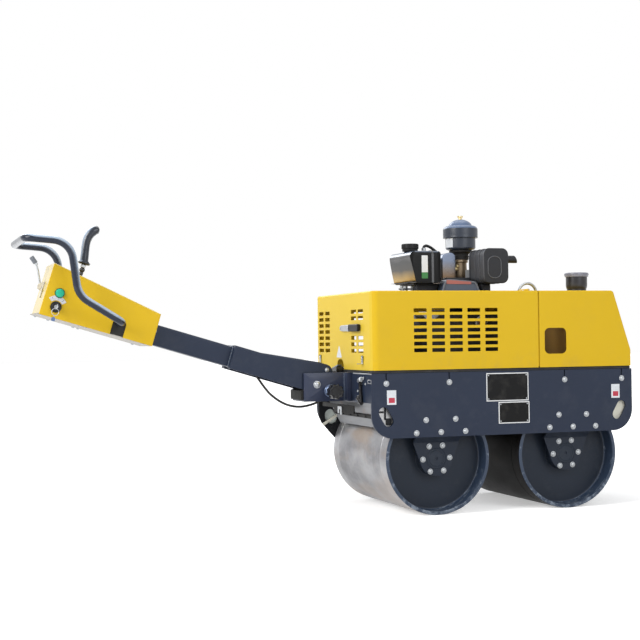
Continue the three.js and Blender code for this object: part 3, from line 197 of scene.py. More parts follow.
# (x from the middle, z) at y = 0, from the plug to the gland
cable_route = [
    (-0.9458, 0.5752), (-0.9260, 0.5672), (-0.9113, 0.5513), (-0.9001, 0.5327), (-0.8880, 0.5147),
    (-0.8755, 0.4970), (-0.8623, 0.4798), (-0.8479, 0.4635), (-0.8312, 0.4491), (-0.8136, 0.4363),
    (-0.7948, 0.4255), (-0.7748, 0.4172), (-0.7538, 0.4117), (-0.7323, 0.4092), (-0.7106, 0.4100),
    (-0.6892, 0.4137), (-0.6683, 0.4195), (-0.6483, 0.4279), (-0.6297, 0.4391), (-0.6102, 0.4485),
    (-0.5886, 0.4500),
]  # fmt: skip


def only(piece):
    """Leaves edit mode with this piece alone selected and active."""
    if bpy.context.mode != "OBJECT":
        bpy.ops.object.mode_set(mode="OBJECT")
    bpy.ops.object.select_all(action="DESELECT")
    piece.select_set(True)
    bpy.context.view_layer.objects.active = piece


def routed(name, points, radius, resolution=4, swell=()):
    """A round tube along a smooth curve through the points, swelling by shares, as a closed mesh."""
    bpy.ops.object.select_all(action="DESELECT")
    bpy.ops.curve.primitive_bezier_curve_add()
    piece = bpy.context.object
    piece.name = name
    spline = piece.data.splines[0]
    spline.bezier_points.add(len(points) - len(spline.bezier_points))
    for knot, point in zip(spline.bezier_points, points):
        knot.co = point
        knot.handle_left_type = knot.handle_right_type = "AUTO"
    for knot, share in zip(spline.bezier_points, swell):
        knot.radius = share
    piece.data.bevel_depth = radius
    piece.data.bevel_resolution = resolution
    piece.data.use_fill_caps = True
    piece.data.resolution_u = 8
    bpy.ops.object.convert(target="MESH")
    bpy.ops.object.mode_set(mode="EDIT")
    bpy.ops.mesh.select_all(action="SELECT")
    bpy.ops.mesh.remove_doubles(threshold=0.00002)
    bpy.ops.object.mode_set(mode="OBJECT")
    bpy.ops.object.shade_smooth_by_angle(angle=math.radians(50))
    return piece


sockets = {
    "colour": "Base Color", "roughness": "Roughness", "metallic": "Metallic", "normal": "Normal",
    "specular": "Specular IOR Level", "coat": "Coat Weight", "coat_roughness": "Coat Roughness", "tint": "Coat Tint",
}  # fmt: skip


def shader_of(name, **fixed):
    """A new material and a wire to its Principled shader, whose fixed values are set directly."""
    look = bpy.data.materials.new(name)
    look.use_nodes = True
    shader = look.node_tree.nodes["Principled BSDF"]
    for key, value in fixed.items():
        shader.inputs[sockets[key]].default_value = value
    return look, Wire(shader.outputs[0])


def feed(wire, **varying):
    """Links wires to the Principled shader's varying sockets."""
    for key, value in varying.items():
        wire.socket.id_data.links.new(value.socket, wire.socket.node.inputs[sockets[key]])


def noise(wire, scale, detail=3.0, stretch=(1.0, 1.0, 1.0), roughness=0.5):
    """Grey noise on the piece's own coordinates; stretch multiplies the frequency along each axis."""
    place = wire.node("ShaderNodeTexCoord", output="Object")
    squeezed = wire.node("ShaderNodeMapping", inputs={"Vector": place, "Scale": stretch})
    inputs = {"Vector": squeezed, "Scale": scale, "Detail": detail, "Roughness": roughness}
    return wire.node("ShaderNodeTexNoise", inputs=inputs)


def ramp(wire, *stops):
    return wire.node("ShaderNodeValToRGB", {"stops": list(stops)}, {"Fac": wire})


def mixed(factor, first, second):
    """A colour between two colours; each is a wire or a plain (r, g, b)."""
    first, second = ((*c, 1.0) if isinstance(c, tuple) else c for c in (first, second))
    inputs = {0: factor, 6: first, 7: second}
    return Wire.node(factor, "ShaderNodeMix", {"data_type": "RGBA", "clamp_factor": True}, inputs, output=2)


def bump(wire, strength, distance, under=None):
    inputs = {"Height": wire, "Strength": strength, "Distance": distance}
    if under:
        inputs["Normal"] = under
    return wire.node("ShaderNodeBump", inputs=inputs)


def along(wire, axis):
    """The piece's own X, Y or Z, in metres; Z is the height above the ground."""
    place = wire.node("ShaderNodeTexCoord", output="Object")
    return wire.node("ShaderNodeSeparateXYZ", inputs={"Vector": place}, output=axis)


def between(value, start, end):
    """Goes from 0 to 1 while a value goes from start to end."""
    return value.node("ShaderNodeMapRange", inputs={"Value": value, "From Min": start, "From Max": end})


def shaded(colour, share):
    """A colour made darker or lighter by a share."""
    return tuple(c * share for c in colour)


def rubber(name, shade=0.018):
    """Black rubber: dull, slightly mottled, grey with dust in patches."""
    look, wire = shader_of(name, specular=0.4)
    dust = noise(wire, 18.0, 5.0) ** 3 * 2.2
    dark, pale = (shade,) * 3, (shade * 3.2, shade * 3.1, shade * 2.9)
    feed(
        wire,
        colour=mixed(dust, dark, pale),
        roughness=0.62 + noise(wire, 60.0) * 0.22,
        normal=bump(noise(wire, 900.0, 4.0), 0.25, 0.0004),
    )
    return look


cable_points = [(middle + x, 0.0, z) for x, z in cable_route]
cable = routed("sheathed_control_cable", cable_points, cable_diameter / 2)
cable.data.materials.append(rubber("cable_sheath"))
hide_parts("control_cable")
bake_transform(cable)

# ---------- Drums ----------
# Two rolled steel drums, 425 mm across and 600 mm wide. The shell is bare, with eased rims and a
# machined line 63 mm in. The end discs are welded in 63 mm deep and painted with the wall round them.
drum_radius = 212.5
drum_half = 300.0
disc_face = 237.0
axle_x = {"rear": -275.0, "front": 275.0}


def at(x, y, z):
    """A point in metres, from millimetres along, across and up from the middle of the ground."""
    return Vector((middle + x / 1000, y / 1000, z / 1000))


def primitive(kind, name, **size):
    """Adds one of Blender's primitives at its size and place, its object at the origin."""
    bpy.ops.object.select_all(action="DESELECT")
    getattr(bpy.ops.mesh, f"primitive_{kind}_add")(**size)
    piece = bpy.context.object
    piece.name = name
    bpy.ops.object.transform_apply()
    return piece


def settle(piece, matrix):
    """Moves a piece to its place and leaves its object at the origin."""
    only(piece)
    piece.matrix_world = matrix
    bpy.ops.object.transform_apply()
    return piece


def drawn(name, points):
    """A chain of edges through the points (in metres), drawn corner by corner and left in edit mode."""
    piece = primitive("plane", name, size=0.01)
    bpy.ops.object.mode_set(mode="EDIT")
    bpy.ops.mesh.select_mode(type="VERT")
    bpy.ops.mesh.select_all(action="SELECT")
    bpy.ops.mesh.merge(type="CENTER")
    bpy.ops.transform.translate(value=points[0])
    for here, there in zip(points, points[1:]):
        bpy.ops.mesh.extrude_region_move(TRANSFORM_OT_translate={"value": Vector(there) - Vector(here)})
    bpy.ops.mesh.select_all(action="SELECT")
    return piece


def outward():
    """In edit mode: merges doubles and turns every face outwards."""
    bpy.ops.mesh.select_all(action="SELECT")
    bpy.ops.mesh.remove_doubles(threshold=0.00002)
    bpy.ops.mesh.normals_make_consistent(inside=False)


up, to_right, to_rear = (0, 0, 1), (0, -1, 0), (-1, 0, 0)


def turned(name, profile, centre, direction=up, steps=64):
    """A profile of (radius, along) in millimetres, spun round an axis through centre and closed."""
    piece = drawn(name, [(r / 1000, 0.0, h / 1000) for r, h in profile])
    bpy.ops.mesh.spin(steps=steps, angle=2 * math.pi, center=(0.0, 0.0, 0.0), axis=(0.0, 0.0, 1.0))
    outward()
    facing = Vector(direction).to_track_quat("Z", "Y").to_matrix().to_4x4()
    return settle(piece, Matrix.Translation(centre) @ facing)


def finish(piece, width=0.0, segments=2, angle=32):
    """Eases the sharp edges by width millimetres and shades the rest smooth."""
    only(piece)
    if width:
        ease = piece.modifiers.new("eased_edges", "BEVEL")
        ease.width = width / 1000
        ease.segments = segments
        ease.angle_limit = math.radians(angle)
        ease.use_clamp_overlap = True
        bpy.ops.object.modifier_apply(modifier=ease.name)
    bpy.ops.object.shade_smooth_by_angle(angle=math.radians(angle))
    flatten = piece.modifiers.new("flat_faces", "WEIGHTED_NORMAL")
    flatten.keep_sharp = True
    bpy.ops.object.modifier_apply(modifier=flatten.name)
    return piece


def copied(piece, name, matrix=None):
    """A copy with its own mesh, moved to its place."""
    only(piece)
    bpy.ops.object.duplicate(linked=False)
    twin = bpy.context.object
    twin.name = name
    return settle(twin, matrix) if matrix else twin


def mirrored(piece, name, across=(1.0, -1.0, 1.0), centre=(0.0, 0.0, 0.0)):
    """A copy mirrored through a plane, with its faces turned outwards again."""
    there, back = Matrix.Translation(centre), Matrix.Translation(-Vector(centre))
    twin = copied(piece, name, there @ Matrix.Diagonal((*across, 1.0)) @ back)
    bpy.ops.object.mode_set(mode="EDIT")
    outward()
    bpy.ops.object.mode_set(mode="OBJECT")
    return twin


def fitted(piece, look, slot, *nodes, body="chassis"):
    """Gives a finished piece its material and body, and hides the solids it stands for; slot is not used."""
    looks = look if isinstance(look, tuple) else (look,)
    while len(piece.data.materials) < len(looks):
        piece.data.materials.append(None)
    for i, one in enumerate(looks):
        piece.data.materials[i] = one
    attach(piece, body)
    if nodes:
        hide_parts(*nodes)
    return piece


def side_distance(wire):
    """The distance from the machine's middle plane, in metres."""
    return along(wire, "Y").math("ABSOLUTE")


def rolled_steel(name, pale, dark, rust, metal=0.86, specular=0.5):
    """Bare rolled steel: worn round the drum in fine rings, blotched, rusted in patches at the top and paler there as a
    painted highlight.
    """
    look, wire = shader_of(name, specular=specular)
    rings = noise(wire, 7.0, 5.0, (1.0, 30.0, 1.0), 0.62)
    blotches = ramp(noise(wire, 6.0, 5.0, (1.0, 0.6, 1.0), 0.6), (0.38, 0.0), (0.62, 1.0))
    edge = side_distance(wire)
    line = (1.0 - (edge - 0.237).math("ABSOLUTE") * 250.0).math("MAXIMUM", 0.0)
    worn = edge.math("GREATER_THAN", 0.238) * 0.16 + line * 0.3
    # top rises towards the drum's top. It places the rust there, and its lifts of the grey and its mix towards paler
    # steel are a painted highlight.
    top = between(along(wire, "Z"), 0.24, 0.37)
    grey = mixed(rings * 0.50 + blotches * 0.56 + worn + top * 0.30, dark, pale)
    bloom = ramp(noise(wire, 9.0, 6.0, (1.0, 0.5, 1.0)), (0.42, 0.0), (0.58, 1.0)) * (top * 0.62 + 0.26)
    feed(
        wire,
        colour=mixed(bloom, mixed(top * 0.55, grey, shaded(pale, 1.55)), rust),
        metallic=metal - bloom * metal * 0.5,
        roughness=0.34 + rings * 0.16 + bloom * 0.22,
        normal=bump(rings, 0.12, 0.001, bump(noise(wire, 320.0, 4.0), 0.16, 0.0004)),
    )
    return look


def paint(name, colour, roughness=0.42, specular=0.22, dust=0.10, peel=0.05, coat=0.04):
    """Sprayed paint: faint clouding, a fine orange-peel skin, dust in patches and hair scratches."""
    look, wire = shader_of(name, coat_roughness=0.22, coat=coat, specular=specular)
    clouds = noise(wire, 3.2, 3.0)
    dirt = ramp(noise(wire, 11.0, 6.0, roughness=0.65), (0.52, 0.0), (0.78, 1.0)) * dust
    scratches = ramp(noise(wire, 26.0, 3.0, (1.0, 1.0, 14.0)), (0.70, 0.0), (0.76, 1.0)) * 0.10
    body = mixed(clouds, shaded(colour, 0.90), shaded(colour, 1.10))
    grime = tuple(c * 0.45 + 0.13 for c in colour)
    feed(
        wire,
        colour=mixed(dirt + scratches, body, grime),
        roughness=roughness + clouds * 0.08 + dirt * 0.9 - 0.04,
        normal=bump(noise(wire, 520.0, 2.0), peel, 0.0006),
    )
    return look


half_drum = [
    (drum_radius, 0.0), (drum_radius, 235.2), (drum_radius - 0.7, 236.0), (drum_radius - 0.7, 238.0),
    (drum_radius, 238.8), (drum_radius, 296.0), (211.6, 298.6), (209.4, drum_half), (200.0, drum_half),
    (198.8, 299.4), (198.5, 298.0), (198.5, 245.0), (197.4, 241.0), (194.6, 238.2), (190.0, disc_face),
    (69.0, disc_face), (66.6, 238.0), (66.0, 240.4), (64.8, 242.0), (36.0, 242.0), (34.6, 240.6),
    (34.6, 225.0), (198.5, 225.0), (198.5, 0.0),
]  # fmt: skip
drum_ring = half_drum + [(r, -y) for r, y in reversed(half_drum[:-1])][:-1] + [half_drum[0]]
frame_paint = paint("frame_paint", (0.0180, 0.0270, 0.053), 0.40)
dish_paint = paint("dish_paint", (0.0200, 0.0275, 0.043), 0.42, 0.2, 0.14)
wall_paint, wire = shader_of("rim_wall_paint", specular=0.45)
# Pale bluish chips of bare metal are wear; that there are more of them towards the bottom is a painted reflection.
low_painted_reflection = between(along(wire, "Z"), 0.16, 0.0)
near_edge = side_distance(wire).math("GREATER_THAN", 0.284)
chips = noise(wire, 30.0, 6.0, (1.0, 2.0, 1.0), 0.7)
bare = ramp(chips + low_painted_reflection * 0.13 + near_edge * 0.05, (0.61, 0.0), (0.74, 1.0)) * 0.6
feed(
    wire,
    colour=mixed(bare, (0.034, 0.054, 0.096), (0.36, 0.42, 0.50)),
    metallic=bare * 0.5,
    roughness=0.28 + chips * 0.16,
    normal=bump(chips, 0.10, 0.0006),
)
pale_steel = rolled_steel("rear_drum_steel", (0.46, 0.46, 0.48), (0.10, 0.10, 0.112), (0.46, 0.33, 0.22))
# The front drum's steel is nearly black: painted shade for the dark gap between the drums and under the machine.
front_steel_painted_shade = rolled_steel(
    "front_drum_steel_painted_shade", (0.010, 0.0098, 0.0102), (0.0025, 0.0024, 0.0026), (0.012, 0.009, 0.007), 0.04, 0.06
)
drum = turned("drum_shell_rear", drum_ring, at(axle_x["rear"], 0, drum_radius), to_right, 112)
finish(drum, angle=38)


def zoned(piece, rule):
    """Gives each face the material whose number, or truth, the rule says."""
    for face in piece.data.polygons:
        face.material_index = int(rule(face))


def drum_zone(face):
    """0 on the bare shell, 1 on the discs and 2 on the painted wall and rim edge round them."""
    spot = face.center - at(axle_x["rear"], 0, drum_radius)
    reach, out = math.hypot(spot.x, spot.z), abs(spot.y)
    bare = reach > 0.1987
    return 2 if (out > 0.2992 if bare else out > 0.2385 and reach > 0.194) else not bare


zoned(drum, drum_zone)
drum_front = copied(drum, "drum_shell_front", Matrix.Translation(((axle_x["front"] - axle_x["rear"]) / 1000, 0.0, 0.0)))
fitted(drum, (pale_steel, dish_paint, wall_paint), "drum_steel", "drum_rear", body="rear_drum")
fitted(drum_front, (front_steel_painted_shade, dish_paint, wall_paint), "drum_steel", "drum_front", body="front_drum")

# ---------- Drum hangers and hubs ----------
# Each drum hangs in two 9 mm cranked plates, broad behind the side plate and round at the axle. A
# turned hub is spigoted in each plate and held by six domed zinc-plated bolts.
hanger_face = -282.0
hub_bolt_circle = 55.0


def arc(a, b, radius, start, sweep, steps):
    """Points on an arc round (a, b), its angles in radians."""
    turns = [start + sweep * i / steps for i in range(steps + 1)]
    return [(a + radius * math.cos(turn), b + radius * math.sin(turn)) for turn in turns]


def oblong(low, high, bottom, top, radius):
    """The corners of a rectangle with the same radius at each."""
    return [(a, b, radius) for a, b in ((low, bottom), (high, bottom), (high, top), (low, top))]


def rounded(corners, steps=6):
    """Outline points from corners (a, b) or (a, b, radius), with an arc at each rounded one."""
    points = []
    for i, (a, b, *radius) in enumerate(corners):
        corner = Vector((a, b))
        if not radius or not radius[0]:
            points.append(corner)
            continue
        before = (Vector(corners[i - 1][:2]) - corner).normalized()
        after = (Vector(corners[(i + 1) % len(corners)][:2]) - corner).normalized()
        half = before.angle(after) / 2
        centre = corner + (before + after).normalized() * radius[0] / math.sin(half)
        start = corner + before * radius[0] / math.tan(half) - centre
        sweep = start.angle_signed(corner + after * radius[0] / math.tan(half) - centre)
        for step in range(steps + 1):
            points.append(centre + start @ Matrix.Rotation(sweep * step / steps, 2))
    return points


def cut_out(name, corners, plane, start, end, steps=6):
    """A rounded outline in millimetres in one plane, filled and extruded from start to end across it."""
    points = rounded(corners, steps) if any(len(corner) > 2 for corner in corners) else corners
    order = {"XZ": (0, 2, 1), "YZ": (1, 2, 0), "XY": (0, 1, 2)}[plane]
    places = []
    for a, b in [*points, points[0]]:
        place = Vector((0.0, 0.0, 0.0))
        place[order[0]], place[order[1]], place[order[2]] = a / 1000, b / 1000, start / 1000
        places.append(place)
    piece = drawn(name, places)
    bpy.ops.mesh.remove_doubles(threshold=0.00002)
    bpy.ops.mesh.edge_face_add()
    depth = Vector((0.0, 0.0, 0.0))
    depth[order[2]] = (end - start) / 1000
    bpy.ops.mesh.extrude_region_move(TRANSFORM_OT_translate={"value": depth})
    outward()
    bpy.ops.object.mode_set(mode="OBJECT")
    return settle(piece, Matrix.Translation((middle, 0.0, 0.0)))


def carve(piece, *tools, operation="DIFFERENCE"):
    """Cuts tools out of a piece, or keeps what they share, and uses the tools up."""
    for tool in tools:
        only(piece)
        bite = piece.modifiers.new("carve", "BOOLEAN")
        bite.operation = operation
        bite.solver = "EXACT"
        bite.object = tool
        bpy.ops.object.modifier_apply(modifier=bite.name)
        bpy.data.objects.remove(tool)
    return piece


def block(name, low, high, width=0.0, segments=2):
    """A box between two corners in millimetres, its edges eased by width."""
    low, high = at(*low), at(*high)
    return finish(primitive("cube", name, size=1.0, location=(low + high) / 2, scale=high - low), width, segments)


def joined(name, pieces):
    """Several pieces made one."""
    only(pieces[0])
    for piece in pieces:
        piece.select_set(True)
    bpy.ops.object.join()
    pieces[0].name = name
    return pieces[0]


def facing(place, direction, spin=0.0):
    """A matrix that stands a fitting made along Z on a place, pointing in a direction."""
    turn = Vector(direction).to_track_quat("Z", "Y").to_matrix().to_4x4()
    return Matrix.Translation(place) @ turn @ Matrix.Rotation(spin, 4, "Z")


def zinc_plate(name, shade=(0.47, 0.49, 0.51), roughness=0.30):
    """Bright zinc plating: a bluish white with cloudy passivation and dull spots."""
    look, wire = shader_of(name, specular=0.5)
    clouds = noise(wire, 40.0, 4.0)
    spots = ramp(noise(wire, 210.0, 3.0), (0.60, 0.0), (0.72, 1.0))
    feed(
        wire,
        colour=mixed(spots * 0.5 + clouds * 0.3, shade, shaded(shade, 0.72)),
        metallic=0.85 - spots * 0.25,
        roughness=roughness + clouds * 0.16 + spots * 0.1,
        normal=bump(clouds, 0.05, 0.0006),
    )
    return look


zinc = zinc_plate("zinc_plate")
waist_z, shoulder_z = 274.0 - drum_radius, 297.0 - drum_radius
reach = math.hypot(94.0, waist_z)
tangent = math.atan2(waist_z, 94.0) - math.acos(67.0 / reach)
side_view = [(-125, 402 - drum_radius), (-125, shoulder_z + 12), (-94, shoulder_z), (-94, waist_z)]
side_view += arc(0, 0, 67, math.pi - tangent, math.pi + 2 * tangent, 28)
side_view += [(94, waist_z), (94, shoulder_z), (125, shoulder_z + 12), (125, 402 - drum_radius)]
side_view = [(x - 275, z + drum_radius) for x, z in side_view]
end_view = [
    (-314.7, 402), (-314.7, 302), (-282, 274), (-282, 130), (-273, 130), (-273, 277.1), (-305.7, 305.1), (-305.7, 402),
]  # fmt: skip
hanger = cut_out("hanger_rear_right_plate", side_view, "XZ", -330, -260)
carve(hanger, cut_out("crank", end_view, "YZ", -420, -130), operation="INTERSECT")
carve(hanger, primitive("cylinder", "spigot_hole", vertices=56, radius=0.0393, depth=0.1,
                        location=at(axle_x["rear"], -282, drum_radius), rotation=(math.pi / 2, 0.0, 0.0)))  # fmt: skip
finish(hanger, 1.2)
hub_profile = [
    (0, 3.0), (5, 3.0), (6, 0.0), (29, 0.0), (30, 1.2), (31.5, 1.2), (32.5, 0.0), (37.8, 0.0), (39, 1.2), (39, 9.3),
    (63, 9.3), (64, 10.3), (64, 34.5), (34, 34.5), (34, 79.5), (0, 79.5),
]  # fmt: skip
hub = turned("hub_rear_right_turned", hub_profile, at(axle_x["rear"], hanger_face, drum_radius), (0.0, 1.0, 0.0), 56)
finish(hub, angle=38)


def domed_bolt(name, radius):
    """A button-head bolt on its washer, standing up from the origin, its hexagon socket cut in."""
    profile = [
        (0, 0), (12.4, 0), (12.6, 0.4), (12.6, 1.4), (12.2, 1.8), (10.2, 1.8), (10, 2.4), (9.7, 4.2), (8.6, 6.0),
        (6.6, 7.4), (4.0, 8.1), (0, 8.3),
    ]  # fmt: skip
    bolt = turned(name, profile, (0.0, 0.0, 0.0), up, 20)
    carve(bolt, primitive("cylinder", "socket", vertices=6, radius=0.0036, depth=0.009, location=(0, 0, 0.01)))
    return finish(settle(bolt, Matrix.Scale(radius / 10, 4)), angle=50)


def discard(*pieces):
    """Takes away patterns and tools that have been used up."""
    for piece in pieces:
        bpy.data.objects.remove(piece)


def bolted(name, radius, places, direction, look=zinc, body="chassis"):
    """One mesh of domed bolts of one radius at places in millimetres, each turned its own way."""
    bolt = domed_bolt("bolt", radius)
    copies = [copied(bolt, f"{name}_{i}", facing(at(*place), direction, 0.9 * i)) for i, place in enumerate(places)]
    discard(bolt)
    return fitted(joined(name, copies), look, "zinc", body=body)


hanger_paint = paint("hanger_paint", (0.0165, 0.0230, 0.038), 0.40, 0.2, 0.12)
hub_bolt = 8.6
for end, x in axle_x.items():
    shift = Matrix.Translation(((x + 275) / 1000, 0.0, 0.0))
    right = copied(hanger, f"hanger_plate_{end}_right", shift)
    left = mirrored(right, f"hanger_plate_{end}_left")
    fitted(right, hanger_paint, "frame_blue", f"hanger_{end}_right")
    fitted(left, hanger_paint, "frame_blue", f"hanger_{end}_left")
    right = copied(hub, f"hub_turned_{end}_right", shift)
    left = mirrored(right, f"hub_turned_{end}_left")
    fitted(right, dish_paint, "frame_blue", f"hub_{end}_right")
    fitted(left, dish_paint, "frame_blue", f"hub_{end}_left")
    circle = arc(x, drum_radius, hub_bolt_circle, math.radians(2), math.radians(300), 5)
    for side, y in (("right", hanger_face - 0.05), ("left", -hanger_face + 0.05)):
        bolted(f"hub_bolts_{end}_{side}", hub_bolt, [(a, y, b) for a, b in circle], (0.0, y, 0.0))
discard(hanger, hub)

# ---------- Side plates ----------
# Two 10 mm plates carry the drums and the deck. Their lower corners are round, a slanted tie-down
# slot is cut at each end, and domed zinc bolts hold the hangers and, in open slots, the deck.
tie_slot = [(-501.5, 394.5), (-482.5, 361.5)]


def rod_between(name, start, end, radius, vertices=32):
    """A cylinder between two points in millimetres."""
    start, end = at(*start), at(*end)
    span = end - start
    matrix = Matrix.Translation((start + end) / 2) @ span.to_track_quat("Z", "Y").to_matrix().to_4x4()
    return settle(primitive("cylinder", name, vertices=vertices, radius=radius / 1000, depth=span.length), matrix)


def slanted_slot(sign):
    """The tool for one tie-down slot: a straight middle with two round ends."""
    (x0, z0), (x1, z1) = ((sign * -x, z) for x, z in tie_slot)
    angle = math.atan2(z1 - z0, x1 - x0)
    arcs = []
    for x, z, first in ((x1, z1, angle - math.pi / 2), (x0, z0, angle + math.pi / 2)):
        arcs += arc(x, z, 20, first, math.pi, 12)
    return cut_out("tie_slot", arcs, "XZ", -340, -300)


corners = [(-550, 540), (-550, 297, 85), (550, 297, 85), (550, 540)]
side_plate = cut_out("side_plate_blank", corners, "XZ", -325, -315, 14)
carve(side_plate, slanted_slot(-1), slanted_slot(1))
for x in (-491, -236, 252, 504):
    carve(side_plate, block("open_slot", (x - 2, -330, 502), (x + 2, -310, 545)))
finish(side_plate, 1.0)
side_plate_far = mirrored(side_plate, "side_plate_left_cut")
side_plate.name = "side_plate_right_cut"
guard_slot = [(-522, 340, 18), (-497, 314, 22), (-466, 330, 20), (-478, 372, 20), (-504, 384, 20), (-522, 366, 20)]
carve(side_plate_far, cut_out("guard_slot", guard_slot, "XZ", 300, 330))
fitted(side_plate, frame_paint, "frame_blue", "side_plate_right")
fitted(side_plate_far, frame_paint, "frame_blue", "side_plate_left")

plate_bolt = 8.8
plate_bolts = [
    (-333, 362), (-212, 363), (-372, 314), (-272, 315), (-172, 316), (225, 366), (345, 365), (185, 318), (286, 318),
    (385, 318), (-491, 502), (-236, 502), (252, 502), (504, 502),
]  # fmt: skip
for side, y in (("right", -325.05), ("left", 325.05)):
    bolted(f"plate_bolts_{side}", plate_bolt, [(x, y, z) for x, z in plate_bolts], (0.0, y, 0.0))

# ---------- Blank plates and stickers ----------
# Two black aluminium plates with a bare rim, riveted on the right-hand side plate, and two small
# white and red stickers. All of them are bare of words and marks.
def choose(piece, kind, test):
    """Enters edit mode with the FACE, EDGE or VERT parts that pass the test selected."""
    only(piece)
    bpy.ops.object.mode_set(mode="EDIT")
    bpy.ops.mesh.select_mode(type=kind)
    bpy.ops.mesh.select_all(action="DESELECT")
    shape = bmesh.from_edit_mesh(piece.data)
    for part in {"FACE": shape.faces, "EDGE": shape.edges, "VERT": shape.verts}[kind]:
        part.select_set(test(part))
    shape.select_flush_mode()
    bmesh.update_edit_mesh(piece.data)


def sunk(piece, test, rim, shift):
    """Insets the chosen faces by rim metres and shifts what is inside."""
    choose(piece, "FACE", test)
    bpy.ops.mesh.inset(thickness=rim)
    bpy.ops.transform.translate(value=shift)
    bpy.ops.object.mode_set(mode="OBJECT")


def satin(name, colour, roughness=0.45, metallic=0.0, specular=0.5):
    """A plain satin skin with a fine grain, cloudy gloss and a little dust."""
    look, wire = shader_of(name, metallic=metallic, specular=specular)
    grain = noise(wire, 260.0, 4.0)
    dust = ramp(noise(wire, 22.0, 5.0), (0.5, 0.0), (0.8, 1.0)) * 0.12
    body = mixed(grain, shaded(colour, 0.85), shaded(colour, 1.15))
    feed(
        wire,
        colour=mixed(dust, body, (0.25, 0.24, 0.22)),
        roughness=roughness + grain * 0.10 + dust - 0.05,
        normal=bump(grain, 0.10, 0.0003),
    )
    return look


plate_black = satin("plate_black", (0.009, 0.009, 0.0095), 0.42, 0.0, 0.12)
plate_rim = satin("plate_rim", (0.62, 0.63, 0.64), 0.32, 0.7)
rivet = 2.2
for name, x0, x1, z0, z1 in (("plate_large_blank", -83, 95, 425, 533), ("plate_small_blank", -33, 98, 339, 422)):
    plate = block(name, (x0, -326.4, z0), (x1, -325.05, z1), 0.3, 1)
    choose(plate, "FACE", lambda face: face.normal.y < -0.9)
    bpy.ops.mesh.inset(thickness=0.0035)
    plate.data.materials.clear()
    plate.data.materials.append(plate_rim)
    plate.data.materials.append(plate_black)
    plate.active_material_index = 1
    bpy.ops.object.material_slot_assign()
    bpy.ops.mesh.inset(thickness=0.0006)
    bpy.ops.transform.translate(value=(0.0, 0.0004, 0.0))
    bpy.ops.object.mode_set(mode="OBJECT")
    fitted(plate, (plate_rim, plate_black), "black_paint")
    rivets = [(x, -326.1, z) for x in (x0 + 9, x1 - 9) for z in (z0 + 9, z1 - 9)]
    bolted(f"{name}_rivets", rivet, rivets, to_right)

sticker_white = satin("sticker_white", (0.76, 0.79, 0.83), 0.4)
sticker_red = satin("sticker_red", (0.50, 0.028, 0.060), 0.4)
for name, x, z in (("sticker_rear", -489, 423), ("sticker_front", 457, 425)):
    label = block(f"{name}_white", (x, -325.5, z), (x + 37, -325.05, z + 54), 0.2, 1)
    patch = block(f"{name}_red", (x + 7, -325.7, z + 7), (x + 31, -325.45, z + 26), 0.1, 1)
    fitted(label, sticker_white, "black_paint")
    fitted(patch, sticker_red, "black_paint")

# ---------- Guard and brackets behind the tie-down slots ----------
# A black guard hangs inside the left side plate behind the rear drum, with a pale bar across its
# slot and a pale backing plate under it. A bare bracket with black hooks and a cream one stand
# behind the right side plate's slots.
guard = [(-548, 428), (-548, 352), (-536, 324), (-479, 260), (-440, 296), (-440, 428)]
guard = carve(cut_out("drum_guard", guard, "XZ", 303, 311), cut_out("guard_slot", guard_slot, "XZ", 300, 330))
guard_black = paint("guard_black", (0.009, 0.010, 0.012), 0.5, 0.2)
fitted(finish(guard, 0.8), guard_black, "black_paint")
bar = finish(cut_out("guard_bar", [(-536, 321), (-474, 358), (-469, 349), (-528, 312)], "XZ", 296.5, 302.7), 1.0)
cream_plate = block("slot_plate_front", (452, -309, 338), (532, -305, 422), 0.8)
backing_shape = [(-527, 392), (-527, 328), (-490, 303), (-456, 303), (-456, 392)]
backing = finish(cut_out("slot_plate_far", backing_shape, "XZ", 311.4, 314.4), 0.6)
fitted(backing, paint("pale_green_paint", (0.84, 0.92, 0.88), 0.4, 0.5, 0.04), "black_paint")
cream = paint("cream_paint", (0.86, 0.84, 0.72), 0.5, 0.3, 0.2)
fitted(joined("cream_brackets", [bar, cream_plate]), cream, "black_paint")
hooks = [
    block("hook_upright", (-494, -309.3, 366), (-487, -306, 420), 1.2),
    block("hook_foot", (-488, -309.3, 346), (-466, -306, 372), 1.2),
    block("hook_head", (-516, -309.3, 392), (-496, -306, 399), 1.2),
]
fitted(joined("slot_hooks", hooks), guard_black, "black_paint")

# ---------- Cross plates, deck and centre beam ----------
# The side plates are tied by a 12 mm plate across each end, the 8 mm deck under the engine and an
# inverted channel over the gap between the drums. All of it is welded and painted with the frame.
inner_half = 314.7
for end, x in (("rear", -550), ("front", 538)):
    cross = block(f"cross_plate_{end}_cut", (x, -inner_half, 429), (x + 12, inner_half, 540), 1.2)
    fitted(cross, frame_paint, "frame_blue", f"cross_plate_{end}")
deck = block("deck_plate", (-537.7, -inner_half, 500), (537.7, inner_half, 508), 1.0)
fitted(deck, frame_paint, "frame_blue", "deck")
channel = [
    (-60, 441.7), (-60, 499.7, 12), (60, 499.7, 12), (60, 441.7), (52, 441.7), (52, 491.7, 5), (-52, 491.7, 5),
    (-52, 441.7),
]  # fmt: skip
beam = finish(cut_out("centre_channel", channel, "XZ", -inner_half, inner_half), 0.8)
fitted(beam, frame_paint, "frame_blue", "centre_beam")

# ---------- Scrapers ----------
# A folded bare plate behind each drum scrapes it clean with its lower edge; a rubber strip is
# clamped on its back under a row of bolts.
scraper_half, scraper_end = 290.0, 228.0


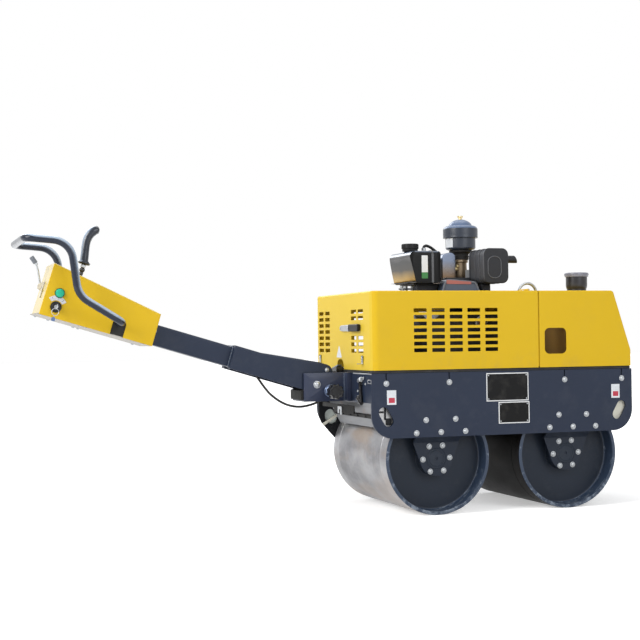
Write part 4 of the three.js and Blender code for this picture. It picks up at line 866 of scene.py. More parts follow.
def raw_plate(name, pale=(0.50, 0.50, 0.51), dark=(0.26, 0.26, 0.27)):
    """Bare mill plate: long faint brush marks, cloudy scale and a few rusty spots."""
    look, wire = shader_of(name, specular=0.5)
    brush = noise(wire, 60.0, 4.0, (1.0, 0.12, 1.0))
    scale = noise(wire, 6.0, 5.0)
    rust = ramp(noise(wire, 17.0, 6.0), (0.60, 0.0), (0.74, 1.0)) * 0.5
    feed(
        wire,
        colour=mixed(rust, mixed(brush * 0.6 + scale * 0.5, dark, pale), (0.23, 0.13, 0.07)),
        metallic=0.85 - rust * 0.6,
        roughness=0.36 + scale * 0.2,
        normal=bump(brush, 0.12, 0.0005),
    )
    return look


bare_plate = raw_plate("bare_plate", (0.33, 0.34, 0.36), (0.12, 0.125, 0.14))
slot_plate = block("slot_plate_rear", (-532, -305.8, 336), (-452, -302, 424), 0.8)
fitted(slot_plate, raw_plate("slot_plate_steel", (0.50, 0.50, 0.50), (0.30, 0.30, 0.31)), "bare_steel")
strip_rubber, scraper_rubber = rubber("strip_rubber", 0.014), rubber("scraper_rubber", 0.003)
folded = [(-537.7, 488), (-537.7, 436.7, 7), (-481.8, 329.4), (-476.5, 332.1), (-531.7, 438.2, 3), (-531.7, 488)]
scraper = finish(cut_out("scraper_rear_folded", folded, "XZ", -scraper_half, scraper_end, 4), 0.5)
strip_side = [(-509.4, 381.6), (-502.0, 367.4), (-506.4, 365.1), (-513.8, 379.3)]
strip = finish(cut_out("scraper_strip_rear_rubber", strip_side, "XZ", -scraper_half, scraper_end), 0.8)
scraper_bolt = 4.6
down_back = (-0.887, 0.0, -0.462)
bolt_places = [(-511.6, y, 372.2) for y in range(-240, 191, 86)]
scraper_bolts = bolted("scraper_bolts_rear", scraper_bolt, bolt_places, down_back, guard_black)
for piece, name, look, slot, *solids in (
    (scraper, "scraper_front_folded", bare_plate, "bare_steel", "scraper_front"),
    (strip, "scraper_strip_front_rubber", scraper_rubber, "black_rubber", "scraper_strip_front"),
    (scraper_bolts, "scraper_bolts_front", guard_black, "black_paint"),
):
    fitted(mirrored(piece, name, (-1.0, 1.0, 1.0), (middle, 0.0, 0.0)), look, slot, *solids)
fitted(scraper, bare_plate, "bare_steel", "scraper_rear")
fitted(strip, scraper_rubber, "black_rubber", "scraper_strip_rear")

# ---------- Hood seal ----------
# A black rubber strip lies all round on the chassis and carries the hood's lower edge.
seal = cut_out("hood_seal_strip", oblong(-546, 545, -324, 324, 6), "XY", 540.3, 550.7)
inside = rounded(oblong(-528, 527, -306, 306, 4))
finish(carve(seal, cut_out("seal_inside", inside, "XY", 530, 560)), 2.0)
fitted(seal, strip_rubber, "black_rubber", "hood_seal")

# ---------- Rear hood ----------
# Folded 3 mm sheet in yellow powder coat: two slotted sides and a slotted rear wall on round bends,
# a flat rim round the open top, and an arch in the rear wall for the hoses.
hood_low, hood_high = 551.0, 848.0
hood_side = 330.0
hood_rear_x = -547.0
sheet = 3.0


def soften(piece, test, width, segments):
    """Rounds the chosen edges over width millimetres."""
    choose(piece, "EDGE", test)
    bpy.ops.mesh.bevel(offset=width / 1000, segments=segments, affect="EDGES")
    bpy.ops.object.mode_set(mode="OBJECT")


def powder_coat(name, colour, specular=0.14, roughness=0.40, dirty=0.30):
    """Yellow powder coat: a soft eggshell skin, slightly browner low down and dusty in patches."""
    look, wire = shader_of(name, specular=specular)
    clouds = noise(wire, 2.4, 3.0)
    low = between(along(wire, "Z"), 0.62, 0.545)
    dirt = ramp(noise(wire, 13.0, 6.0, roughness=0.65), (0.50, 0.0), (0.80, 1.0)) * (low * dirty + 0.07)
    runs = ramp(noise(wire, 34.0, 3.0, (1.0, 1.0, 0.08)), (0.60, 0.0), (0.80, 1.0)) * low * 0.10
    deep = (colour[0] * 0.965, colour[1] * 0.955, colour[2] * 0.9)
    feed(
        wire,
        colour=mixed(dirt + runs, mixed(clouds, deep, shaded(colour, 1.025)), (0.42, 0.29, 0.10)),
        roughness=roughness + clouds * 0.06 + dirt * 0.7,
        normal=bump(noise(wire, 430.0, 2.0), 0.06, 0.0006),
    )
    return look


yellow = powder_coat("yellow_powder_coat", (0.750, 0.488, 0.020))
plan = [(hood_rear_x, -hood_side, 28), (138.3, -hood_side), (138.3, hood_side), (hood_rear_x, hood_side, 28)]
inner_plan = [(-544, -327, 25), (142, -327), (142, 327), (-544, 327, 25)]
seam_x = at(138.3, 0, 0).x


def top_bend(edge):
    """The upper outline of the folded sheet, but for its open end at the seam."""
    ends = edge.verts
    return all(v.co.z > 0.8449 for v in ends) and not all(v.co.x > seam_x - 0.0001 for v in ends)


hood = cut_out("hood_rear_sheet", plan, "XY", hood_low, hood_high, 10)
soften(hood, top_bend, 7, 5)
hollow = cut_out("hood_rear_inside", inner_plan, "XY", hood_low - 2, hood_high - sheet, 10)
soften(hollow, top_bend, 4.5, 4)
top_rim = oblong(-460, 112, -215, 215, 20)
arch = [(-11, 540), (69, 540), (69, 591, 32), (-11, 591, 32)]
carve(hood, hollow, cut_out("top_opening", top_rim, "XY", 830, 860), cut_out("hose_arch", arch, "YZ", -560, -530, 8))
side_blade = block("side_slot", (-379, -340, 617), (-326, 340, 631.5))
soften(side_blade, lambda edge: abs((edge.verts[0].co - edge.verts[1].co).y) > 0.1, 2.2, 3)
steps = [(column, row) for column in range(5) for row in range(7)]
blades = [copied(side_blade, "side_slot", Matrix.Translation((0.0733 * c, 0.0, 0.025 * r))) for c, r in steps]
discard(side_blade)
carve(hood, joined("side_slots", blades))
rear_blade = block("rear_slot", (-556, 0, 617), (-535, 58, 631.5))
soften(rear_blade, lambda edge: abs((edge.verts[0].co - edge.verts[1].co).x) > 0.01, 2.2, 3)
rows_from = {154: range(7), -235: (0, 1, 2, 5, 6)}
places = [(y + 77 * column, row) for y, rows in rows_from.items() for column in range(2) for row in rows]
blades = [copied(rear_blade, "rear_slot", Matrix.Translation((0.0, y / 1000, 0.025 * row))) for y, row in places]
discard(rear_blade)
carve(hood, joined("rear_slots", blades))
finish(hood, 0.7, 2, 40)
# The rear wall gets a paler yellow than the sides: painted light on the wall that faces the key light.
zoned(hood, lambda face: face.normal.x < -0.8 and face.center.x < at(-540, 0, 0).x)
rear_wall_painted_light = powder_coat("rear_wall_yellow_painted_light", (0.785, 0.565, 0.055), dirty=0.08)
fitted(hood, (yellow, rear_wall_painted_light), "hood_yellow", "hood_rear", body="hood")

# ---------- Latch, hooks and blank sticker on the rear wall ----------
# An over-centre latch: a zinc lever with a black moulded grip on a riveted plate. Two bent zinc
# hooks hold the hood's lower edge down, and a white triangle is stuck, bare, above the arch.
moulded_black = satin("moulded_black", (0.010, 0.010, 0.011), 0.44, 0.0, 0.22)
wall = -547.3
plate = block("latch_plate", (wall - 2.2, -205, 699), (wall, -66, 725), 0.6)
lever_shape = [(-120, 699, 4), (2, 701, 9), (10, 712, 6), (2, 723, 9), (-120, 725, 4)]
lever = finish(cut_out("latch_lever", lever_shape, "YZ", wall - 8.5, wall - 2.4, 5), 1.4, 3)
fitted(joined("latch_zinc", [lever, plate]), zinc, "zinc", body="hood")
grip = block("latch_grip", (wall - 16, -213, 698), (wall - 2.6, -108, 726), 4.5, 4)
sunk(grip, lambda face: face.normal.x < -0.95, 0.0045, (0.0018, 0.0, 0.0))
fitted(finish(grip, 0.5), moulded_black, "black_plastic", "hood_latch", body="hood")
small_bolt = 4.0
bolted("latch_rivets", small_bolt, [(wall - 8.4, -94, 712), (wall - 8.4, -2, 712)], to_rear, body="hood")
bolted("hook_screws", small_bolt, [(wall - 3.2, y, 596) for y in (-228, 272)], to_rear, body="hood")
hooks = []
for y in (-228, 272):
    bent = [(-547.4, 606, 3), (-547.4, 574), (-568, 574), (-568, 577.4), (-550.8, 577.4, 2), (-550.8, 606, 3)]
    hooks.append(finish(cut_out(f"hook_{y}", bent, "XZ", y - 8, y + 8, 3), 0.8))
fitted(joined("hood_hooks", hooks), zinc, "zinc", body="hood")
triangle = cut_out("sticker_triangle", [(10, 597, 3), (74, 597, 3), (42, 646, 3)], "YZ", wall, wall + 0.25, 4)
fitted(finish(triangle), sticker_white, "hood_yellow", body="hood")

# ---------- Front cover ----------
# A second folded sheet with a slanted nose covers the water tank. It has a window on each side, a
# round hole for the filler, a slot for the lifting eye, and a joggled strip behind the seam.
cover_side = [(143.7, 551), (546, 551), (546, 614, 10), (471, 848, 15), (143.7, 848)]
cover_inside = [(140, 549), (543, 549), (543, 613.5, 7), (468.8, 845, 12), (140, 845)]
cover = cut_out("hood_front_sheet", cover_side, "XZ", -hood_side, hood_side, 8)
seam_edge = at(143.7, 0, 0).x


def cover_bend(edge):
    """The folded edges between the side walls and the top, slant and nose."""
    a, b = (v.co for v in edge.verts)
    side = abs(a.y) > 0.3299 and abs(b.y) > 0.3299 and a.y * b.y > 0
    at_seam = a.x < seam_edge + 0.0001 and b.x < seam_edge + 0.0001
    return side and not at_seam and not (a.z < 0.5511 and b.z < 0.5511)


soften(cover, cover_bend, 7, 5)
carve(cover, cut_out("hood_front_inside", cover_inside, "XZ", -327, 327, 8))
window = oblong(166, 260, 603, 703, 20)
carve(cover, cut_out("windows", window, "XZ", -340, 340, 8))
filler_at = (397, -170)
carve(cover, rod_between("filler_hole", (*filler_at, 830), (*filler_at, 860), 45, 64))
carve(cover, cut_out("eye_slot", oblong(213, 313, -13, 13, 5), "XY", 830, 860))
finish(cover, 0.7, 2, 40)
fitted(cover, yellow, "hood_yellow", "hood_front")
joggle = []
for side, top, start, end in ((325.4, 843.4, 133, 146), (326.9, 844.9, 146, 156)):
    outer, inner = [
        (-side, 556), (-side, top), (side, top), (side, 556)
    ], [(323, 556), (323, 841), (-323, 841), (-323, 556)]
    joggle.append(cut_out("joggle", outer + inner, "YZ", start, end))
fitted(finish(joined("seam_strip", joggle), 0.3, 1), yellow, "hood_yellow")

# ---------- Hood hinges ----------
# Two steel butt hinges over the seam let the rear hood tip forwards. Each has five knuckles on one
# pin and two leaves, each leaf held by three screws; they are coated with the hood.
hinge_x, hinge_z = 141, 853.3
screw = 3.2
for side, y in (("left", 210), ("right", -210)):
    for body, sign, knuckles, solids in (("chassis", 1, (0, 2, 4), [f"hood_hinge_{side}"]), ("hood", -1, (1, 3), [])):
        gap = 0.5 if sign > 0 else 6
        parts = [block("leaf", (hinge_x + sign * gap, y - 40, 848.35), (hinge_x + sign * 28, y + 40, 850.6), 0.7)]
        for knuckle in knuckles:
            y0, y1 = y - 39.75 + 16 * knuckle, y - 24.25 + 16 * knuckle
            barrel = rod_between("knuckle", (hinge_x, y0, hinge_z), (hinge_x, y1, hinge_z), 4.9, 24)
            parts.append(finish(barrel, 0.6))
            low_x = hinge_x if sign > 0 else hinge_x - 8
            parts.append(block("curl", (low_x, y0, 848.5), (low_x + 8, y1, 850.9), 0.3, 1))
        fitted(joined(f"hinge_{side}_{body}", parts), yellow, "hood_yellow", *solids, body=body)
        screw_places = [(hinge_x + sign * 18, y + d, 850.4) for d in (-26, 0, 26)]
        bolted(f"hinge_screws_{side}_{body}", screw, screw_places, up, body=body)
    pin = rod_between(f"hinge_pin_{side}", (hinge_x, y - 41, hinge_z), (hinge_x, y + 41, hinge_z), 2.2, 16)
    fitted(finish(pin, 0.4), zinc, "zinc")

# ---------- Water tank and filler ----------
# A moulded plastic sprinkler tank stands under the front cover and shows in its windows. Its filler
# neck comes out through the cover and carries a wide screw cap with a lipped, ribbed rim.
def skin(node, look):
    """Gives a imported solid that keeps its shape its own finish."""
    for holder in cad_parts[node].material_slots:
        holder.material = look


tank_plastic = satin("tank_plastic", (0.62, 0.36, 0.10), 0.55, 0.0, 0.3)
skin("water_tank", tank_plastic)
neck_profile = [
    (0, 833.4), (36, 833.4), (36, 852), (37.5, 857), (40.6, 863), (42.1, 870), (42.5, 878), (42.5, 911), (41.5, 913.6),
    (38.5, 913.6), (38.5, 842), (0, 842),
]  # fmt: skip
cap_profile = [
    (0, 914.1), (42.8, 914.1), (42.8, 908), (46, 908), (46.8, 908.8), (46.8, 913), (47.5, 914.4), (47.5, 921),
    (46.6, 923.6), (43.5, 925), (40, 924.2), (37, 922), (0, 922),
]  # fmt: skip
filler_black = satin("filler_black", (0.034, 0.034, 0.039), 0.30, 0.5, 0.40)
filler_grey = satin("filler_cap_grey", (0.20, 0.21, 0.27), 0.28, 0.0, 0.6)
filler_axis = at(*filler_at, 0)
neck = finish(turned("filler_neck_moulded", neck_profile, filler_axis, up, 72), angle=40)
fitted(neck, filler_black, "black_plastic", "filler_neck")
cap = turned("filler_cap_moulded", cap_profile, filler_axis, up, 72)


def ribbed(piece, axis, low, high, radius, depth):
    """Raises every third face round a cap, between two heights and outside a radius, by depth metres."""

    def rib(face):
        spot = face.calc_center_median() - axis
        third = round(math.degrees(math.atan2(spot.y, spot.x)) / 5 - 0.5) % 3 == 0
        return third and abs(face.normal.z) < 0.2 and low < spot.z < high and math.hypot(spot.x, spot.y) > radius

    choose(piece, "FACE", rib)
    bpy.ops.mesh.extrude_region_shrink_fatten(TRANSFORM_OT_shrink_fatten={"value": depth})
    bpy.ops.object.mode_set(mode="OBJECT")


ribbed(cap, filler_axis, 0.9145, 0.921, 0.047, 0.0008)
fitted(finish(cap, 0.25, 1, 40), filler_grey, "black_plastic", "filler_cap")

# ---------- Lifting eye ----------
# A forged ring welded to a flat post, which stands on a foot bolted to the deck and comes up
# through the cover. It is zinc plated, and a dark teal safety nut sits low inside the ring.
eye_x = 263
eye_ring = primitive(
    "torus", "eye_ring", location=at(eye_x, 0, 850), rotation=(math.pi / 2, 0, 0), major_segments=72,
    minor_segments=20, major_radius=0.040, minor_radius=0.006,
)  # fmt: skip
post = block("eye_post", (246, -9, 509), (280, 9, 813), 2.0)
foot = block("eye_foot", (229, -45, 508.4), (297, 45, 518), 2.0)
weld = [(0, 806), (15, 806), (17, 811), (13, 816), (0, 818)]
bead = finish(turned("eye_weld", weld, at(eye_x, 0, 0), up, 28), angle=60)
eye_piece = finish(joined("lifting_eye_forged", [eye_ring, post, foot, bead]), angle=40)
fitted(eye_piece, zinc, "zinc", "lifting_eye")
bolted("eye_foot_bolts", small_bolt, [(236, -36, 518), (290, -36, 518), (236, 36, 518), (290, 36, 518)], up)
nut = [(0, 824), (13, 824), (14, 826), (14, 838), (11, 842), (11, 850), (8.5, 856), (4, 859), (0, 859.6)]
teal_nut = turned("eye_nut", nut, at(266, 0, 0), up, 8)
fitted(finish(teal_nut, 0.8), satin("teal_nut", (0.05, 0.10, 0.11), 0.35, 0.3, 0.5), "zinc")

# ---------- Engine block and cooling ----------
# A single-cylinder air-cooled engine stands on two rails. The casting is dirty dark aluminium; a
# pressed shroud leads air over the barrel and a ribbed round cover hides the flywheel.
def casting(name, colour, grime=(0.02, 0.018, 0.016), amount=0.5, roughness=0.5, metallic=0.7):
    """Sand-cast aluminium: pebbled, with oil and soot settled in patches."""
    look, wire = shader_of(name, specular=0.4)
    pebbles = noise(wire, 300.0, 4.0)
    soot = ramp(noise(wire, 9.0, 6.0, roughness=0.6), (0.35, 0.0), (0.70, 1.0)) * amount
    feed(
        wire,
        colour=mixed(soot, mixed(pebbles, shaded(colour, 0.85), shaded(colour, 1.15)), grime),
        metallic=metallic - soot * 0.5,
        roughness=roughness + pebbles * 0.12,
        normal=bump(pebbles, 0.35, 0.0007),
    )
    return look


dirty_casting = casting("engine_casting", (0.060, 0.060, 0.062), amount=0.8, metallic=0.45)
skin("engine_block", dirty_casting)
gloss_black = paint("engine_black", (0.0065, 0.0068, 0.0075), 0.20, 0.14, 0.04, 0.03, 0.0)
matt_black = paint("heat_black", (0.0190, 0.0200, 0.0245), 0.48, 0.26, 0.10, 0.20, 0.0)
shroud_paint = paint("shroud_paint", (0.056, 0.078, 0.124), 0.30, 0.5, 0.12)
fly_profile = [
    (0, 0), (117.5, 0), (118, 2), (118, 38), (115, 41.5), (108, 46), (104, 52), (98, 60), (94, 62), (72, 62), (70, 60),
    (68, 56), (40, 56), (38, 60), (36, 62), (0, 62),
]  # fmt: skip
crank_y, crank_z = -20, 649
flywheel = finish(turned("flywheel_cover_pressed", fly_profile, at(-227.3, crank_y, crank_z), to_rear, 64), angle=38)
vents = []
for i in range(12):
    a = math.radians(30 * i)
    vent = primitive("cube", "vent", size=1.0, scale=(0.03, 0.016, 0.006))
    place = at(-270, crank_y + 54 * math.cos(a), crank_z + 54 * math.sin(a))
    vents.append(settle(vent, Matrix.Translation(place) @ Matrix.Rotation(a, 4, "X")))
carve(flywheel, joined("vents", vents))
fitted(flywheel, matt_black, "black_paint", "flywheel_cover")

shroud_side = [(-202, 800), (-2, 800), (-38, 891, 18), (-172, 901, 26)]
shroud_inside = [(-199, 796), (-5, 796), (-41, 888, 15), (-169, 898, 23)]
shroud = cut_out("fan_shroud_pressed", shroud_side, "XZ", -154.3, -110.4, 8)
carve(shroud, cut_out("shroud_inside", shroud_inside, "XZ", -151.3, -100, 8))
choose(shroud, "FACE", lambda face: face.normal.y < -0.95 and face.calc_center_median().y < -0.153)
bpy.ops.mesh.inset(thickness=0.007)
bpy.ops.mesh.inset(thickness=0.0025)
bpy.ops.transform.translate(value=(0.0, 0.0022, 0.0))
bpy.ops.object.mode_set(mode="OBJECT")
finish(shroud, 1.3, 3)
# The raised border of the near face gets a paler blue paint: a painted highlight along its edges.
zoned(shroud, lambda face: face.normal.y < -0.3 and face.center.y < -0.1528)
shroud_painted_highlight = paint("shroud_rim_painted_highlight", (0.14, 0.155, 0.19), 0.30, 0.5, 0.12)
fitted(shroud, (shroud_paint, shroud_painted_highlight), "frame_blue", "fan_shroud")
red_shape = [(-166, 880.5), (-61, 879.5), (-61, 889.5), (-166, 896.5)]
red_strip = finish(cut_out("shroud_strip_red", red_shape, "XZ", -154.9, -154.4), 0.2, 1)
fitted(red_strip, satin("faded_red", (0.44, 0.13, 0.11), 0.45), "frame_blue")
cowl = block("head_cowl", (-150, -109.8, 881), (-42, -72, 908), 5.0, 3)
fitted(cowl, matt_black, "black_paint")

# ---------- Oil filler on the engine's side ----------
# A bright ring and a dull red screw plug, seen through the hood's side slots.
ring_profile = [(0, 0), (25, 0), (25.5, 1.5), (25.5, 7), (23, 9), (17, 9), (16, 7), (0, 7)]
ring = finish(turned("oil_filler_ring", ring_profile, at(-15, -140.4, 728), to_right, 40), angle=35)
fitted(ring, zinc, "zinc")
plug_profile = [(0, 0), (13, 0), (13, 6), (11, 8), (0, 8)]
plug = finish(turned("oil_filler_plug", plug_profile, at(-15, -147.6, 728), to_right, 12), 0.6)
fitted(plug, satin("plug_red", (0.20, 0.05, 0.035), 0.5), "cast_aluminium")

# ---------- Rocker cover ----------
# A deep pressed cover with round shoulders, on a flange with cap screws. Its lacquer is worn smooth,
# and its colour is a painted reflection: brown low down, as of the yellow hood, and blue-grey at the top.
rocker_painted_reflection, wire = shader_of("rocker_lacquer_painted_reflection", specular=0.5)
low_down = between(along(wire, "Z"), 0.905, 0.985)
smears = noise(wire, 16.0, 5.0)
reflection_tones = (0.1, (0.16, 0.10, 0.055)), (0.5, (0.17, 0.15, 0.14)), (0.9, (0.15, 0.18, 0.25))
feed(
    wire,
    colour=ramp(low_down + smears * 0.3 - 0.15, *reflection_tones),
    metallic=0.55 + smears * 0.2,
    roughness=0.20 + smears * 0.14,
    normal=bump(smears, 0.08, 0.002),
)
rocker_side = [(-144, 890), (-84, 890), (-84, 1016, 20), (-144, 1002, 26)]
rocker = cut_out("rocker_cover_pressed", rocker_side, "XZ", -61, 59, 10)
rocker = finish(rocker, 5.0, 4, 50)
flange = block("rocker_flange", (-144, -62, 880.5), (-83, 60, 891), 2.0)
fitted(joined("rocker_cover_body", [rocker, flange]), rocker_painted_reflection, "cast_aluminium", "rocker_cover")
bolted("rocker_screws", small_bolt, [(-114, -58, 890.9), (-114, 56, 890.9)], up)

# ---------- Fuel tank ----------
# A pressed steel tank in gloss black with round corners. Its rear end leans in towards the bottom and
# carries a painted reflection, amber low down and grey above, and its top a bluish painted reflection.
# A steel band goes over it, a bare white and green strip is stuck on its near side, and small clamps
# hang under its rear end.
tank_side = [(-293, 885, 15), (-180, 885, 15), (-180, 1010, 22), (-321, 1010, 22)]
tank_plan = oblong(-321, -180, -150, 79, 22)
tank = cut_out("fuel_tank_pressed", tank_side, "XZ", -150, 79, 10)
carve(tank, cut_out("tank_plan", tank_plan, "XY", 870, 1030, 10), operation="INTERSECT")
soften(tank, lambda edge: edge.calc_face_angle(0) > 1.2 and min(v.co.z for v in edge.verts) > 1.0095, 8, 5)
finish(tank, 1.6, 3, 40)


def tank_zone(face):
    """1 on the rear end and 2 on the top, which both carry a painted reflection, and 0 elsewhere."""
    bright = face.normal.x < -0.80 and abs(face.center.y + 0.0355) < 0.094 and 0.893 < face.center.z < 0.995
    return 1 if bright else 2 * (face.normal.z > 0.22)


zoned(tank, tank_zone)
# The rear end runs from amber at the bottom, a painted reflection of the yellow hood, through near black to a paler
# grey at the top, a painted reflection of the sky.
end_painted_reflection, wire = shader_of("tank_end_painted_reflection", specular=0.2)
place_in_end = between(along(wire, "Z"), 0.89, 0.99)
end_clouds = noise(wire, 14.0, 4.0)
low_reflection_tones = (0.12, (0.42, 0.27, 0.07)), (0.50, (0.042, 0.037, 0.030))
high_reflection_tones = (0.80, (0.028, 0.028, 0.029)), (1.0, (0.10, 0.10, 0.105))
feed(
    wire,
    colour=ramp(place_in_end + end_clouds * 0.25 - 0.12, *low_reflection_tones, *high_reflection_tones),
    metallic=0.80 - place_in_end * 0.5 + end_clouds * 0.1,
    roughness=0.20 + end_clouds * 0.1,
    normal=bump(end_clouds, 0.05, 0.002),
)
seam = block("tank_seam", (-296, -151.2, 889), (-178.8, 80.2, 891.4), 0.8)
soften(seam, lambda edge: abs((edge.verts[0].co - edge.verts[1].co).z) > 0.0005, 16, 6)
fuel_at = (-276, -50)
tank_neck = rod_between("tank_neck", (*fuel_at, 1008), (*fuel_at, 1013), 24, 40)
# The top gets a bluish black: a painted reflection of the sky.
top_painted_reflection = paint("tank_top_painted_reflection", (0.060, 0.084, 0.132), 0.22, 0.5, 0.04, 0.03, 0.1)
fitted(tank, (gloss_black, end_painted_reflection, top_painted_reflection), "black_paint", "fuel_tank")
fitted(finish(joined("tank_seam_and_neck", [seam, tank_neck]), 0.3, 1), gloss_black, "black_paint")
strip_green = satin("strip_green", (0.02, 0.20, 0.035), 0.4)
for part, z0, z1, look in (("white", 926, 992, sticker_white), ("green", 902, 925.8, strip_green)):
    fitted(block(f"tank_strip_{part}", (-269, -150.5, z0), (-243, -150.05, z1), 0.2, 1), look, "black_paint")
bend = [(-152.4, 1000), (-152.4, 1012.4, 16), (-138, 1012.4), (-138, 1010.1), (-150.1, 1010.1, 13.7), (-150.1, 1000)]
band = [
    block("band_near", (-228, -152.4, 886), (-218, -150.1, 1003), 0.5),
    block("band_top", (-228, -140, 1010.1), (-218, 60, 1012.4), 0.5),
    finish(cut_out("band_bend", bend, "YZ", -228, -218), 0.4, 1),
]
band_black = paint("band_black", (0.014, 0.016, 0.022), 0.24, 0.8, 0.06, 0.03, 0.1)
fitted(joined("tank_band", band), band_black, "black_paint")
clamp_places = (-302, -20), (-278, -4), (-256, -20)
clamps = [block("clamp", (x, y, 853), (x + 9, y + 20, 879), 1.5) for x, y in clamp_places]
clamps.append(rod_between("clamp_screw", (-310, -10, 866), (-250, -10, 866), 3.5, 14))
fitted(joined("tank_clamps", clamps), zinc, "zinc")
# A matt black block fills the dark space under the tank.
under = block("black_block_under_tank", (-266, -94, 850.4), (-160, -58, 879.2), 3.0)
fitted(under, matt_black, "black_paint")
cap_profile = [
    (0, 0.3), (30, 0.3), (31, 1.5), (31, 9), (33, 10.5), (33, 27.5), (31.5, 29.6), (29, 30), (20, 29.4), (19, 28.4),
    (0, 28.4),
]  # fmt: skip
fuel_cap = turned("fuel_cap_ribbed", cap_profile, at(*fuel_at, 1013.2), up, 72)
ribbed(fuel_cap, at(*fuel_at, 0), 1.0245, 1.05, 0.032, 0.001)
fitted(finish(fuel_cap, 0.25, 1, 40), moulded_black, "black_plastic", "fuel_cap")
strap = [
    block("strap_flat", (-281, -96, 879.7), (-152.3, 49, 884.6), 0.8),
    block("strap_leg", (-152.2, -80, 850.2), (-146.4, 49, 884.6), 0.8),
]
fitted(joined("tank_bracket_folded", strap), matt_black, "black_paint", "tank_bracket")

# ---------- Tank breather ----------
# A black hose with a bright collar beside the fuel cap, led down behind the tank.
hose = ((-218, 1010), (-218, 1028), (-211, 1036), (-196, 1034), (-176, 1022), (-160, 1008), (-152, 992))
elbow = routed("breather_elbow", [at(x, -50, z) for x, z in hose], 0.0058)
fitted(elbow, moulded_black, "black_plastic")
collar = [
    rod_between("breather_nut", (-218, -50, 1010), (-218, -50, 1018), 11, 6),
    rod_between("breather_body", (-218, -50, 1018), (-218, -50, 1028), 8.5, 20),
]
fitted(finish(joined("breather_collar", collar), 0.6), zinc, "zinc")

# ---------- Air cleaner and intake ----------
# A turned oil-bath bowl under a wider domed cap with a wing nut, on a ribbed rubber neck and a cast
# intake elbow. The label on the bowl is bare.
cleaner_axis = at(-37, -5, 0)
cleaner_paint = paint("cleaner_paint", (0.024, 0.032, 0.050), 0.34, 0.45, 0.10)
bowl_profile = [
    (0, 1022), (45, 1022), (52, 1024), (57.5, 1026.5), (59.6, 1029.5), (60.4, 1033), (60.4, 1070), (60.4, 1078.8),
    (0, 1078.8),
]  # fmt: skip
bowl = finish(turned("air_cleaner_bowl_turned", bowl_profile, cleaner_axis, up, 72), angle=32)


def on_label(face):
    """The bare label on the bowl's wall, on the side towards the rear and the right."""
    spot = face.center - cleaner_axis
    turn_of = math.degrees(math.atan2(spot.y, spot.x)) % 360
    return 1.033 < spot.z < 1.071 and 172 < turn_of < 217 and math.hypot(spot.x, spot.y) > 0.059


zoned(bowl, on_label)
fitted(bowl, (cleaner_paint, sticker_white), "frame_blue", "air_cleaner_bowl")
neck_rings = [
    (0, 984.4), (31, 984.4), (32, 986), (32, 996), (34, 998), (34, 1000), (31.5, 1002), (31.5, 1005), (34, 1007),
    (36, 1011), (44, 1013.5), (46.5, 1016), (46.5, 1020), (44.5, 1022.2), (0, 1022.2),
]  # fmt: skip
rubber_neck = finish(turned("air_cleaner_neck", neck_rings, cleaner_axis, up, 56), angle=45)
fitted(rubber_neck, rubber("neck_rubber", 0.010), "black_rubber")
cap_rings = [
    (0, 1079.1), (60.9, 1079.1), (60.9, 1071.2), (68.6, 1071.2), (70.2, 1072.4), (70.4, 1075), (69.6, 1078.5),
    (70, 1084), (70, 1106), (69.2, 1110), (66.5, 1114.6), (62, 1118.4), (57, 1120.6), (50, 1121.6), (47, 1123),
    (44.5, 1128.5), (38.5, 1135.5), (29, 1141.6), (18, 1146), (8, 1147.6), (0, 1148),
]  # fmt: skip
cleaner_cap = finish(turned("air_cleaner_cap_spun", cap_rings, cleaner_axis, up, 80), angle=30)
cleaner_painted_reflection = paint("cleaner_top_painted_reflection", (0.108, 0.156, 0.262), 0.30, 0.4, 0.10)
# The cap's upward faces get a paler blue: a painted reflection of the sky.
zoned(cleaner_cap, lambda face: face.normal.z > 0.35)
fitted(cleaner_cap, (cleaner_paint, cleaner_painted_reflection), "frame_blue", "air_cleaner_cap")
brass = zinc_plate("pale_brass", (0.62, 0.50, 0.26), 0.26)
boss = [(0, 1147.4), (6, 1147.4), (6.4, 1149), (4.6, 1155), (3, 1156), (3, 1162), (2.4, 1163), (0, 1163)]
nut = turned("wing_nut_boss", boss, cleaner_axis, up, 24)
wings = []
wing = [(2, 1149, 1), (7, 1151, 3), (12, 1160, 4), (9, 1167, 4), (5, 1162, 3), (2, 1155, 1)]
nut_turn = Matrix.Rotation(math.radians(-20), 4, "Z")
for side in (-1, 1):
    blade = cut_out("wing", [(side * x, z, radius) for x, z, radius in wing], "XZ", -1.6, 1.6, 4)
    wings.append(settle(blade, Matrix.Translation(cleaner_axis) @ nut_turn @ Matrix.Translation((-middle, 0, 0))))
fitted(finish(joined("wing_nut", [nut, *wings]), 0.5, 2), brass, "zinc")
intake_cast = casting("intake_casting", (0.36, 0.28, 0.19), (0.10, 0.06, 0.03), 0.55, 0.38, 0.7)
pipe_profile = [
    (0, 880.4), (29, 880.4), (30, 881.5), (30, 888), (28, 890), (22, 893), (21, 897), (23, 904), (26.5, 914),
    (28.5, 926), (28.8, 940), (28, 954), (27.2, 968), (28, 971.5), (31.5, 973), (32.5, 974.5), (32.5, 981.5),
    (31.5, 983.4), (0, 983.4),
]  # fmt: skip
pipe = finish(turned("intake_pipe_cast", pipe_profile, at(-41, -5, 0), up, 48), angle=38)
fitted(pipe, intake_cast, "cast_aluminium", "intake_pipe")
ball = [(0, 0), (6, 1), (8.5, 5), (8.5, 9), (6, 13), (0, 14)]
fittings = [
    finish(rod_between("fitting_hex", (-60, -26, 958), (-76, -38, 958), 8, 6), 0.6),
    finish(turned("fitting_ball", ball, at(-72, -34, 945), (-0.6, -0.8, 0), 20), angle=60),
    finish(rod_between("fitting_stem", (-60, -24, 945), (-74, -36, 945), 5, 16), 0.4),
]
fitted(joined("intake_fittings", fittings), brass, "zinc")
